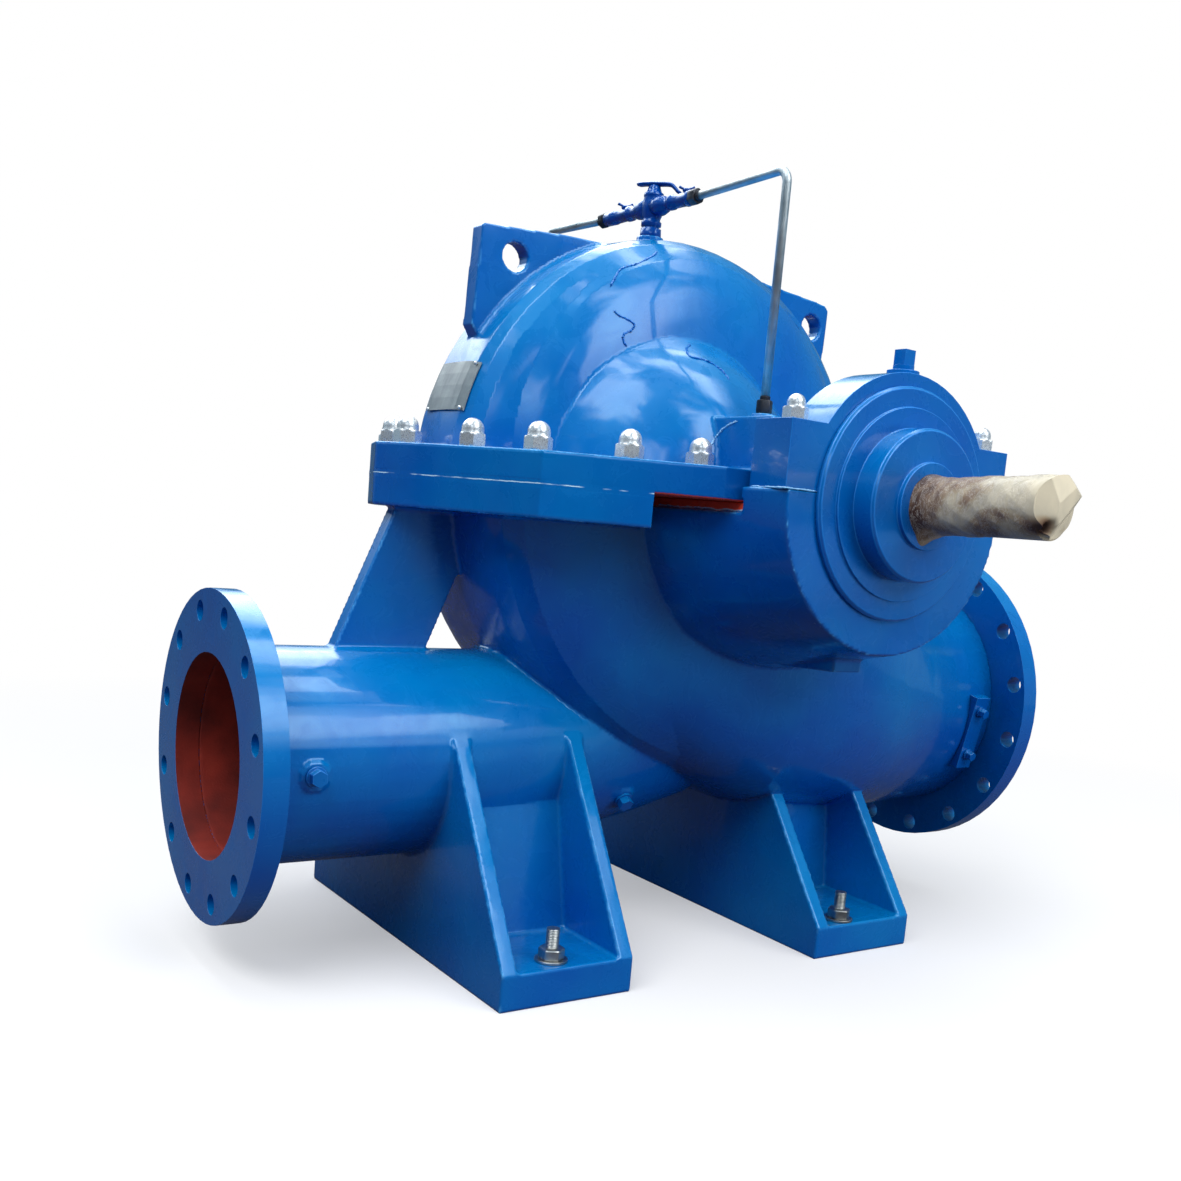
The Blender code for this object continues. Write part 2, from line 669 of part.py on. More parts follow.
def bearing_caps():
    drive = bearing_cap()
    finish(mirrored_y(drive, "bearing_cap_far"), "bearing_cap_far", BLUE)
    finish(drive, "bearing_cap_drive", BLUE)


def end_covers():
    """Drive-end cover with a lip round the shaft, and the closed cover of the far end."""
    face = BEARING_FACE_Y + SEAT_GAP
    rim, step, tip = (BEARING_FACE_Y + d for d in (COVER_RIM, COVER_STEP, COVER_REACH))
    profile = [(tip, COVER_BOSS_RADIUS - COVER_EDGE), (tip - COVER_EDGE, COVER_BOSS_RADIUS),
               (step, COVER_BOSS_RADIUS), (step, COVER_STEP_RADIUS), (rim, COVER_STEP_RADIUS),
               (rim, COVER_RADIUS - COVER_EDGE), (rim - COVER_EDGE, COVER_RADIUS), (face, COVER_RADIUS)]
    far = turned_y("end_cover_far", profile)
    lip = [(tip + COVER_LIP, COVER_LIP_RADIUS), (tip, COVER_LIP_RADIUS)]
    drive = turned_y("end_cover_drive", [(-y, r) for y, r in lip + profile])
    radius = SHAFT_RADIUS + RUNNING_GAP
    cut(drive, turned_y("hole", [(-tip - OVERCUT, radius), (-face + OVERCUT, radius)]))
    finish(drive, "end_cover_drive", BLUE)
    finish(far, "end_cover_far", BLUE)


def rotor():
    inner = -BEARING_FACE_Y + SHAFT_POCKET_DEPTH - SHAFT_END_GAP
    end = -DRIVE_REACH + SHAFT_END_COVERED
    chamfer = WRAP_THICKNESS / 2
    shaft = turned_y("rotor_shaft", [(end, SHAFT_RADIUS - chamfer), (end + chamfer, SHAFT_RADIUS),
                                     (inner, SHAFT_RADIUS)])
    start = -BEARING_FACE_Y - COVER_REACH - COVER_LIP - WRAP_GAP
    outside = SHAFT_RADIUS + WRAP_THICKNESS
    wrap = turned_y("shaft_wrap", [(-DRIVE_REACH, outside * WRAP_END_SHARE),
                                   (-DRIVE_REACH + WRAP_END_LENGTH, outside),
                                   (start - WRAP_FLARE_LENGTH, outside), (start, WRAP_FLARE_RADIUS)])
    inside = SHAFT_RADIUS + SEAT_GAP
    cut(wrap, turned_y("hole", [(end - SEAT_GAP, inside), (start + OVERCUT, inside)]))
    finish(shaft, "rotor_shaft", GREY)
    finish(wrap, "shaft_wrap", PAPER)


def pipe_flange(name, faces, height, radius, bore, circle, holes):
    """A pipe flange with a plain bore and a ring of bolt holes that straddle the centre lines."""
    low, high = faces
    flange = turned_x(name, [(low, radius), (high, radius)], height, 64)
    cut(flange, turned_x("bore", [(low - OVERCUT, bore), (high + OVERCUT, bore)], height))
    pins = mesh_object("pins", lambda bm: hole_pins(bm, low, high, height, circle, holes))
    cut(flange, pins)
    return finish(flange, name, BLUE)


def hole_pins(bm, low, high, height, circle, holes):
    unit = circle_points(FLANGE_HOLE_RADIUS, 14)
    for i in range(holes):
        angle = (i + 0.5) * 2 * math.pi / holes
        y, z = circle * math.cos(angle), height + circle * math.sin(angle)
        skin(bm, [[(x, y + a, z + b) for a, b in unit] for x in (low - OVERCUT, high + OVERCUT)])


def pipe_flanges():
    pipe_flange("discharge_flange", (-DISCHARGE_REACH, -DISCHARGE_REACH + DISCHARGE_FLANGE_THICKNESS),
                DISCHARGE_HEIGHT, DISCHARGE_FLANGE_RADIUS, DISCHARGE_BORE_RADIUS, DISCHARGE_BOLT_CIRCLE,
                DISCHARGE_HOLES)
    pipe_flange("suction_flange", (SUCTION_REACH - SUCTION_FLANGE_THICKNESS, SUCTION_REACH),
                SUCTION_HEIGHT, SUCTION_FLANGE_RADIUS, SUCTION_BORE_RADIUS, SUCTION_BOLT_CIRCLE,
                SUCTION_HOLES)


def foot(name, span, top, wall, shells):
    """A transverse foot, cut to the casing above it.

    Its gussets slope from the base up to the point top = (y, z) inside the casing. The cross wall
    leans from wall[0] at the base to wall[1] at that height.
    """
    left, right = span
    top_y, top_z = top
    slope = [(FOOT_HALF_LENGTH, 0.0), (FOOT_HALF_LENGTH, FOOT_BASE), (top_y, top_z)]
    outline = slope + [(-y, z) for y, z in slope[::-1]]
    body = plate_yz(name, outline, left, right)
    lean = (wall[0] - wall[1]) / (top_z - FOOT_BASE)
    high = top_z + OVERCUT
    recess = plate_yz("recess", [(wall[0], FOOT_BASE), (FOOT_HALF_LENGTH + OVERCUT, FOOT_BASE),
                                 (FOOT_HALF_LENGTH + OVERCUT, high), (wall[1] - lean * OVERCUT, high)],
                      left + FOOT_WALL, right - FOOT_WALL)
    cut(body, mirrored_y(recess, "recess_drive"), recess, *shells)
    return finish(body, name, BLUE)


def feet():
    branch = discharge_passage("branch", SEAT_GAP)
    foot("discharge_foot", DISCHARGE_FOOT_X, DISCHARGE_FOOT_TOP, DISCHARGE_WALL_Y,
         (branch, drum_shell("drum")))
    branch = discharge_passage("branch", SEAT_GAP)
    foot("suction_foot", SUCTION_FOOT_X, SUCTION_FOOT_TOP, SUCTION_WALL_Y,
         (suction_passage("inlet", SEAT_GAP), drum_shell("drum"), branch))


def hold_down_bolts():
    """A stud with its washer and nut on each end of each foot."""
    low = FOOT_BASE + SEAT_GAP
    nut_low = low + WASHER_THICKNESS
    top = FOOT_BASE + STUD_HEIGHT
    for i, (x, y) in enumerate((x, side * y) for x, y in (DISCHARGE_STUD, SUCTION_STUD) for side in (-1, 1)):
        name = "hold_down_bolt_%d" % (i + 1)
        body = turned_z(name, [(low, WASHER_RADIUS), (nut_low, WASHER_RADIUS)], (x, y))
        nut = turned_z("nut", [(low, NUT_RADIUS), (nut_low + NUT_HEIGHT, NUT_RADIUS)], (x, y), 6)
        shank = turned_z("shank", [(low, STUD_RADIUS), (top, STUD_RADIUS)], (x, y), 16)
        finish(join(body, nut, shank), name, SILVER)


def web_plate():
    """The sloping web on the centre plane, with the see-through gap beside the volute."""
    pipe_top = DISCHARGE_HEIGHT + DISCHARGE_PIPE_RADIUS
    top = PARTING_HEIGHT - SPLIT_LOWER_THICKNESS - SEAT_GAP
    foot_z = pipe_top - WEB_FOOT_DEPTH
    gap_top = pipe_top + WEB_GAP_TOP_SHARE * (top - pipe_top)
    inner = pipe_top + WEB_INNER_SHARE * (top - pipe_top)
    outline = [(-WEB_FOOT_SHARE * DISCHARGE_REACH, foot_z), (WEB_GAP_FOOT_X, foot_z),
               (WEB_GAP_TOP_X, gap_top), (WEB_INNER_X, inner), (WEB_INNER_X, top),
               (SPLIT_LEFT_MIDDLE + WEB_HEAD_INSET, top)]
    plate = plate_xz("web_plate", outline, -WEB_THICKNESS / 2, WEB_THICKNESS / 2)
    cut(plate, drum_shell("drum"), discharge_passage("pipe", SEAT_GAP))
    finish(plate, "web_plate", BLUE)


def lifting_lugs():
    half = LUG_THICKNESS / 2
    centre = (CROWN_OFFSET_X, SHAFT_HEIGHT + CROWN_OFFSET_Z)

    def placed(share):
        return centre[0] + share[0] * CROWN_RADIUS, centre[1] + share[1] * CROWN_RADIUS

    for name, shares, hole in (("lifting_lug_discharge", DISCHARGE_LUG, DISCHARGE_LUG_HOLE),
                               ("lifting_lug_suction", SUCTION_LUG, SUCTION_LUG_HOLE)):
        lug = plate_xz(name, [placed(share) for share in shares], -half, half)
        pin = turned_y("hole", [(-OVERCUT, LUG_HOLE_RADIUS), (OVERCUT, LUG_HOLE_RADIUS)], 24, placed(hole))
        cut(lug, pin, crown("crown", SEAT_GAP), shoulder("shoulder", SEAT_GAP))
        finish(lug, name, BLUE)


def vent_arm_height():
    return casing_top(VENT_X) + VENT_BOSS_RISE + VENT_ARM_RISE


def vent():
    """The vent fitting, the nuts on its two arms and the cock lever that turns on its stem."""
    place = (VENT_X, 0.0)
    low = casing_top(VENT_X) + VENT_BOSS_RISE + SEAT_GAP
    arm = vent_arm_height()
    body_low, body_high = arm - VENT_BODY_HALF_HEIGHT, arm + VENT_BODY_HALF_HEIGHT
    top = arm + VENT_STEM_RISE
    body = turned_z("vent_cross", [(low, VENT_NIPPLE_RADIUS), (body_low, VENT_NIPPLE_RADIUS),
                                   (body_low, VENT_BODY_RADIUS), (body_high, VENT_BODY_RADIUS),
                                   (body_high, VENT_STEM_RADIUS), (top, VENT_STEM_RADIUS)], place)
    join(body, turned("arm", [(-VENT_ARM_DRIVE, VENT_ARM_RADIUS), (VENT_ARM_FAR, VENT_ARM_RADIUS)],
                      (VENT_X, 0, arm), (0, 1, 0), 16))
    finish(body, "vent_cross", BLUE)
    vent_lever(top + SEAT_GAP)
    for name, start, end in (("vent_nut_drive", -VENT_NUT_DRIVE, -VENT_ARM_DRIVE - SEAT_GAP),
                             ("vent_nut_far", VENT_ARM_FAR + SEAT_GAP, VENT_NUT_FAR)):
        nut = turned(name, [(start, TUBE_NUT_RADIUS), (end, TUBE_NUT_RADIUS)], (VENT_X, 0, arm),
                     (0, 1, 0), 6)
        finish(nut, name, DARK)


def vent_lever(low):
    """A flat lever with its outer end bent down, built along X round its own stem."""
    top = low + LEVER_THICKNESS
    bend = LEVER_REACH - LEVER_THICKNESS
    outline = [(-LEVER_TAIL, low), (bend, low), (bend, top - LEVER_HOOK), (LEVER_REACH, top - LEVER_HOOK),
               (LEVER_REACH, top), (-LEVER_TAIL, top)]
    lever = plate_xz("vent_lever", outline, -LEVER_WIDTH / 2, LEVER_WIDTH / 2)
    lever.data.transform(Matrix.Rotation(math.radians(LEVER_TURN), 4, "Z"))
    finish(lever, "vent_lever", BLUE)
    lever.location = (VENT_X, 0, 0)


def tube(name, points):
    """A round tube along a centre line of points."""
    curve = bpy.data.curves.new(name, "CURVE")
    curve.dimensions = "3D"
    curve.bevel_depth = TUBE_RADIUS
    curve.bevel_resolution = 2
    curve.use_fill_caps = True
    spline = curve.splines.new("POLY")
    spline.points.add(len(points) - 1)
    for point, place in zip(spline.points, points):
        point.co = (*place, 1.0)
    obj = bpy.data.objects.new(name, curve)
    PARTS.objects.link(obj)
    depsgraph = bpy.context.evaluated_depsgraph_get()
    mesh = bpy.data.meshes.new_from_object(obj.evaluated_get(depsgraph))
    bm = bmesh.new()
    bm.from_mesh(mesh)
    bmesh.ops.remove_doubles(bm, verts=bm.verts, dist=SEAT_GAP / 6)
    bmesh.ops.recalc_face_normals(bm, faces=bm.faces)
    bm.to_mesh(mesh)
    bm.free()
    solid = bpy.data.objects.new(name, mesh)
    PARTS.objects.link(solid)
    bpy.data.objects.remove(obj, do_unlink=True)
    return finish(solid, name, GREY)


def rounded_route(points, radius, steps=6):
    """A bent tube's centre line: straight runs joined by arcs of one radius."""
    points = [Vector(p) for p in points]
    route = [points[0]]
    for before, corner, after in zip(points, points[1:], points[2:]):
        back, ahead = (before - corner).normalized(), (after - corner).normalized()
        half = back.angle(ahead) / 2
        reach = radius / math.tan(half)
        centre = corner + (back + ahead).normalized() * radius / math.sin(half)
        start, end = corner + back * reach, corner + ahead * reach
        for i in range(steps + 1):
            blend = (start - centre).slerp(end - centre, i / steps)
            route.append(centre + blend.normalized() * radius)
    route.append(points[-1])
    return route


def flush_tubes():
    """A bent steel tube from each arm of the vent fitting down to each gland housing."""
    nut_low = SHAFT_HEIGHT + HOUSING_HEIGHT + FLUSH_BOSS_RISE + SEAT_GAP
    nut_high = nut_low + TUBE_NUT_HEIGHT
    arm = vent_arm_height()
    for side, start, name in ((-1, VENT_NUT_DRIVE, "drive"), (1, VENT_NUT_FAR, "far")):
        y = side * FLUSH_Y
        points = [(VENT_X, side * (start + SEAT_GAP), arm), (VENT_X, y, arm), (VENT_X, y, nut_high + SEAT_GAP)]
        tube("flush_tube_" + name, rounded_route(points, TUBE_BEND))
        nut = turned_z("neck_nut_" + name, [(nut_low, TUBE_NUT_RADIUS), (nut_high, TUBE_NUT_RADIUS)],
                       (VENT_X, y), 6)
        finish(nut, "neck_nut_" + name, DARK)


def grease_plugs():
    low = SHAFT_HEIGHT + CAP_RADIUS + CAP_BOSS_RISE + SEAT_GAP
    half = GREASE_HEAD / 2
    for side, name in ((-1, "grease_plug_drive"), (1, "grease_plug_far")):
        y = side * (BEARING_FACE_Y - BEARING_BLOCK_LENGTH / 2)
        plug = turned_z(name, [(low, PLUG_COLLAR_RADIUS), (low + PLUG_COLLAR, PLUG_COLLAR_RADIUS)],
                        (GREASE_PLUG_X, y))
        head = box("head", (GREASE_PLUG_X - half, y - half, low + PLUG_COLLAR / 2),
                   (GREASE_PLUG_X + half, y + half, low + PLUG_COLLAR + GREASE_HEAD_HEIGHT))
        finish(join(plug, head), name, BLUE)


def screwed_plug(name, place, axis, collar_radius, head_radius):
    """A round collar with a hexagon head, standing clear of its boss by the seat gap."""
    collar = PLUG_COLLAR / 2
    plug = turned(name, [(SEAT_GAP, collar_radius), (collar, collar_radius)], place, axis, 20)
    head = turned("head", [(collar / 2, head_radius), (collar + PLUG_HEAD, head_radius)], place, axis, 6)
    finish(join(plug, head), name, BLUE)


def casing_plugs():
    for name, (place, axis) in (("discharge_plug", discharge_plug_axis()), ("drain_plug", drain_axis())):
        foot_point = Vector(place) + Vector(axis).normalized() * PLUG_BOSS_RISE
        screwed_plug(name, foot_point, axis, PLUG_COLLAR_RADIUS, PLUG_HEAD_RADIUS)


def gauge_pad():
    """A strip on the drive side of the suction branch, with two plugged gauge points."""
    slope = math.radians(PAD_SLOPE)
    out = Vector((0, -math.cos(slope), -math.sin(slope)))
    along = Vector((0, -math.sin(slope), math.cos(slope)))
    face = Vector((PAD_SHARE * SUCTION_REACH, 0, SUCTION_HEIGHT)) + out * (SUCTION_PIPE_RADIUS + PAD_RISE)
    half = PAD_WIDTH / 2
    rings = []
    for x in (-half, half):
        corners = [face + along * a + out * b for a, b in ((-PAD_LENGTH / 2, 0), (PAD_LENGTH / 2, 0),
                                                           (PAD_LENGTH / 2, -PAD_WIDTH),
                                                           (-PAD_LENGTH / 2, -PAD_WIDTH))]
        rings.append([(corner.x + x, corner.y, corner.z) for corner in corners])
    pad = lofted("gauge_pad", rings)
    finish(cut(pad, suction_passage("shell", SEAT_GAP)), "gauge_pad", BLUE)
    for name, step in (("gauge_plug_upper", 0.5), ("gauge_plug_lower", -0.5)):
        screwed_plug(name, face + along * step * GAUGE_PLUG_SPACING, out, GAUGE_PLUG_RADIUS,
                     GAUGE_PLUG_RADIUS * 0.8)


def nameplate():
    """The bare plate, which follows the rim of the crown round and across."""
    centre = (CROWN_OFFSET_X, SHAFT_HEIGHT + CROWN_OFFSET_Z)
    angles = np.radians(np.linspace(*NAMEPLATE_ANGLES, 5))
    across = np.linspace(*NAMEPLATE_Y, 7)
    rings = []
    for y in across:
        inner = disc_radius(y / CROWN_HALF_WIDTH, CROWN_POWER) * CROWN_RADIUS + NAMEPLATE_GAP
        outer = inner + NAMEPLATE_THICKNESS
        path = [(inner, a) for a in angles] + [(outer, a) for a in angles[::-1]]
        rings.append([(centre[0] + r * math.cos(a), y, centre[1] + r * math.sin(a)) for r, a in path])
    finish(lofted("nameplate", rings, split=True), "nameplate", PLATE)


def main():
    lower_casing()
    upper_casing()
    bearing_caps()
    end_covers()
    rotor()
    pipe_flanges()
    feet()
    hold_down_bolts()
    web_plate()
    lifting_lugs()
    vent()
    flush_tubes()
    grease_plugs()
    casing_plugs()
    gauge_pad()
    nameplate()


main()
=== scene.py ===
"""Looks of the horizontally split double-suction water pump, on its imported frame."""

import math

import bmesh
import bpy
import numpy as np
from mathutils import Matrix, Vector


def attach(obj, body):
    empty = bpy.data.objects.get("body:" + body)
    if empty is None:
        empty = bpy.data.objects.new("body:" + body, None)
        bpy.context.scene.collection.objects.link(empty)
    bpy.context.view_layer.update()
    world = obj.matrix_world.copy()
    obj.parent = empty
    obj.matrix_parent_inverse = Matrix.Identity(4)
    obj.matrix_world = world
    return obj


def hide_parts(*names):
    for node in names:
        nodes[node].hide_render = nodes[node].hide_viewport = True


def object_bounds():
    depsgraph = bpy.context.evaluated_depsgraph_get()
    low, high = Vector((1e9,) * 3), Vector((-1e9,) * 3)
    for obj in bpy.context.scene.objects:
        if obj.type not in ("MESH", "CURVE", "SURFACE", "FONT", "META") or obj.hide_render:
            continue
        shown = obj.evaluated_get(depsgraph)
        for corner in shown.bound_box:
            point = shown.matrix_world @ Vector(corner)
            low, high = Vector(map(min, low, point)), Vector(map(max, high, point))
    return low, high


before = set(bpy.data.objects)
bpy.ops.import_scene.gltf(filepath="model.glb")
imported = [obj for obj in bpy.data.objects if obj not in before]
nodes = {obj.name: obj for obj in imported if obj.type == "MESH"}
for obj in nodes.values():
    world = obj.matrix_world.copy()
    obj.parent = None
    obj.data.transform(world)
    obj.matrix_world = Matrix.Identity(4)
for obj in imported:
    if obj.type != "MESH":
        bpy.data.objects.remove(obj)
scene = bpy.context.scene
cad_box = [list(corner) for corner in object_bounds()]

# The pump's own centre is where the shaft's upright plane meets the middle of the volute. The camera
# stands low at the discharge side of the drive end, as fitted to the flanges, feet and bearing block.
CENTRE = np.array((0.0735, 0.102, 0.0))
CAMERA_PLACE = (-1.08797, -1.3819, 0.56962)
CAMERA_RIGHT = (0.81462, -0.57321, 0.08847)
CAMERA_UP = (0.00356, 0.15747, 0.98752)
CAMERA_BACK = (-0.57999, -0.80413, 0.13031)


def new_object(name, data):
    """A new object in the scene that holds data."""
    item = bpy.data.objects.new(name, data)
    scene.collection.objects.link(item)
    return item


camera_data = bpy.data.cameras.new("photo_camera")
camera_data.sensor_width = 36.0
camera_data.lens = 38.03
camera_data.shift_x = -0.0264
camera_data.shift_y = 0.0892
camera = new_object("photo_camera", camera_data)
camera.matrix_world = Matrix([*zip(CAMERA_RIGHT, CAMERA_UP, CAMERA_BACK, CAMERA_PLACE), (0, 0, 0, 1)])
scene.camera = camera
scene.view_settings.view_transform = "Standard"


# Plain daylight studio: a broad window at the left, a soft sky overhead and two weak fills from the
# front. Mirrors see no lamp but a dim sky with bright ragged clouds at the left, and a pale yard low
# at the right and behind.
def soft_light(name, place, target, size, power):
    """An area lamp of the given width and height at place, aimed at target."""
    data = bpy.data.lights.new(name, "AREA")
    data.shape = "RECTANGLE"
    data.size, data.size_y = size
    data.energy = power
    lamp = new_object(name, data)
    lamp.location = place
    lamp.rotation_euler = (Vector(target) - Vector(place)).to_track_quat("-Z", "Y").to_euler()
    lamp.visible_glossy = False


soft_light("window_left", (-2.7, -1.2, 3.3), (0.0, 0.0, 0.5), (2.6, 1.7), 88)
soft_light("sky_overhead", (-0.3, 0.2, 3.6), (0.0, 0.1, 0.5), (3.2, 2.2), 46)
soft_light("front_sky", (1.0, -3.3, 2.8), (0.1, 0.0, 0.45), (2.6, 1.4), 62)
soft_light("yard_glow", (2.4, -3.6, 0.5), (0.2, 0.0, 0.35), (2.6, 0.9), 60)


def fill(tree, node, values):
    """Gives a node's inputs their values: a socket is linked, a constant is set, a colour opaque."""
    for name, value in dict(values).items():
        port = node.inputs[name]
        if isinstance(value, bpy.types.NodeSocket):
            tree.links.new(value, port)
        else:
            port.default_value = (*value, 1.0) if port.type == "RGBA" else value
    return node


def add_node(tree, kind, values=(), **settings):
    """A shader node of that kind; values fill its inputs, settings its fields."""
    node = tree.nodes.new("ShaderNode" + kind)
    for field, value in settings.items():
        setattr(node, field, value)
    return fill(tree, node, values)


def ramp(tree, factor, stops):
    """A colour ramp on factor, whose stops are (position, colour)."""
    node = add_node(tree, "ValToRGB", {"Fac": factor})
    points = node.color_ramp.elements
    while len(points) < len(stops):
        points.new(0.5)
    for point, (position, color) in zip(points, stops):
        point.position = position
        point.color = (*color, 1.0)
    return node.outputs["Color"]


def blend(tree, factor, first, second):
    """The colour first where factor is 0 and second where it is 1."""
    return add_node(tree, "Mix", {0: factor, 6: first, 7: second}, data_type="RGBA").outputs[2]


def math_node(tree, operation, first, second=0.0, clamp=False):
    """The result of one arithmetic step on two values."""
    return add_node(tree, "Math", {0: first, 1: second}, operation=operation,
                    use_clamp=clamp).outputs[0]


def times(tree, first, second):
    """The product of two values."""
    return math_node(tree, "MULTIPLY", first, second)


def plus(tree, first, second):
    """The sum of two values."""
    return math_node(tree, "ADD", first, second)


def size_of(tree, value):
    """The value without its sign."""
    return math_node(tree, "ABSOLUTE", value)


def spread(tree, value, low, high, to_low=0.0, to_high=1.0):
    """value moved from the range low to high onto to_low to to_high, and clamped there."""
    return add_node(tree, "MapRange",
                    {0: value, 1: low, 2: high, 3: to_low, 4: to_high}).outputs[0]


def noise(tree, place, scale, detail, **more):
    """A noise texture's value at place; more fills its other inputs by name."""
    return add_node(tree, "TexNoise",
                    {"Vector": place, "Scale": scale, "Detail": detail, **more}).outputs["Fac"]


def parts(tree, vector):
    """The X, Y and Z of a vector."""
    return tuple(add_node(tree, "SeparateXYZ", {0: vector}).outputs)


CLOUD_GLARE = 4.4
PAPER_WHITE = (1.0, 1.0, 1.0)
world = bpy.data.worlds.new("pale_studio")
scene.world = world
world.use_nodes = True
sky = world.node_tree
sky.nodes.clear()
rays = add_node(sky, "LightPath").outputs
sight = add_node(sky, "TexCoord").outputs["Generated"]
across, away, up = parts(sky, sight)
height = spread(sky, up, -1.0, 1.0)
open_sky = ramp(sky, height, [(0.0, (0.012, 0.014, 0.018)), (0.47, (0.022, 0.03, 0.04)),
                              (0.56, (0.03, 0.07, 0.11)), (0.7, (0.08, 0.19, 0.3)),
                              (1.0, (0.14, 0.28, 0.42))])
yard_side = spread(sky, across, 0.1, 0.6)
back_side = times(sky, spread(sky, across, -0.2, -0.5), spread(sky, away, 0.3, 0.7))
yard = times(sky, math_node(sky, "MAXIMUM", yard_side, back_side),
             spread(sky, size_of(sky, up), 0.4, 0.1))
ground_lit = blend(sky, yard, open_sky, (0.16, 0.3, 0.42))
puffs = noise(sky, sight, 1.5, 3.0, Roughness=0.55, Distortion=0.6)
open_side = times(sky, spread(sky, up, 0.2, 0.5), spread(sky, across, 0.62, 0.4))
thicker = plus(sky, puffs, spread(sky, up, 0.6, 0.95, 0.0, 0.04))
cloud = times(sky, spread(sky, thicker, 0.46, 0.55), open_side)
mirror_sky = blend(sky, cloud, ground_lit, (0.9, 0.96, 1.0))
plain_sky = ramp(sky, height, [(0.0, (0.03, 0.035, 0.045)), (0.48, (0.12, 0.14, 0.17)),
                               (0.75, (0.46, 0.52, 0.6)), (1.0, (0.66, 0.7, 0.76))])
room = blend(sky, rays["Is Glossy Ray"], plain_sky, mirror_sky)
to_camera = math_node(sky, "MAXIMUM", rays["Is Camera Ray"], rays["Is Transmission Ray"])
backdrop = blend(sky, to_camera, room, PAPER_WHITE)
glare = times(sky, times(sky, cloud, rays["Is Glossy Ray"]), CLOUD_GLARE)
background = add_node(sky, "Background", {"Color": backdrop, "Strength": plus(sky, glare, 1.0)})
add_node(sky, "OutputWorld", {"Surface": background.outputs[0]})

floor_mesh = bpy.data.meshes.new("studio_floor")
floor_mesh.from_pydata([(-9, -9, 0), (9, -9, 0), (9, 9, 0), (-9, 9, 0)], [], [(0, 1, 2, 3)])
new_object("studio_floor", floor_mesh)


def object_place(tree):
    """The Object coordinates, which are the frame's own metres."""
    return add_node(tree, "TexCoord").outputs["Object"]


def pale_floor():
    """White near and far to the camera, with the pump's shadow; to the pump itself a dull grey, so that
    its undersides stay deep blue."""
    material = bpy.data.materials.new("pale_floor")
    material.use_nodes = True
    tree = material.node_tree
    tree.nodes.clear()
    seen = add_node(tree, "LightPath").outputs
    reach = add_node(tree, "VectorMath", {0: object_place(tree)}, operation="LENGTH")
    shown = add_node(tree, "BsdfDiffuse", {"Color": (0.92, 0.92, 0.92)})
    glow = add_node(tree, "Emission", {"Color": PAPER_WHITE})
    far_off = spread(tree, reach.outputs["Value"], 0.75, 2.6, 0.35, 1.0)
    studio = add_node(tree, "MixShader", {0: far_off, 1: shown.outputs[0], 2: glow.outputs[0]})
    dull = add_node(tree, "BsdfDiffuse", {"Color": (0.1, 0.1, 0.11)})
    looked_at = math_node(tree, "MAXIMUM", seen["Is Camera Ray"], seen["Is Transmission Ray"])
    final = add_node(tree, "MixShader", {0: looked_at, 1: dull.outputs[0], 2: studio.outputs[0]})
    add_node(tree, "OutputMaterial", {"Surface": final.outputs[0]})
    return material


floor_mesh.materials.append(pale_floor())


# Blue enamel, brushed thickly over a rough casting and its filler. The brush leaves soft streaks and
# runs that hang down the sides. The blue is painted lighter on faces turned up and deeper on faces
# turned down, as painted light and shade, and paler on proud edges, partly thinned paint and partly
# a painted highlight.
ENAMEL_BRIGHT = (0.0, 0.185, 0.49)
ENAMEL_DEEP = (0.0, 0.07, 0.37)
ENAMEL_EDGE_AND_GLINT = (0.1, 0.42, 0.82)
COAT_WEIGHT = 0.65
FLOAT, COLOR = "NodeSocketFloat", "NodeSocketColor"


def new_group(name, inputs, outputs):
    """An empty shader node group with those (name, kind, default) inputs and (name, kind) outputs."""
    group = bpy.data.node_groups.new(name, "ShaderNodeTree")
    for label, kind, default in inputs:
        socket = group.interface.new_socket(label, in_out="INPUT", socket_type=kind)
        socket.default_value = default
    for label, kind in outputs:
        group.interface.new_socket(label, in_out="OUTPUT", socket_type=kind)
    return group, group.nodes.new("NodeGroupInput").outputs, group.nodes.new("NodeGroupOutput")


def facing_up(tree):
    """How far the surface faces up: 1 on top, 0 upright, -1 underneath."""
    return parts(tree, add_node(tree, "NewGeometry").outputs["Normal"])[2]


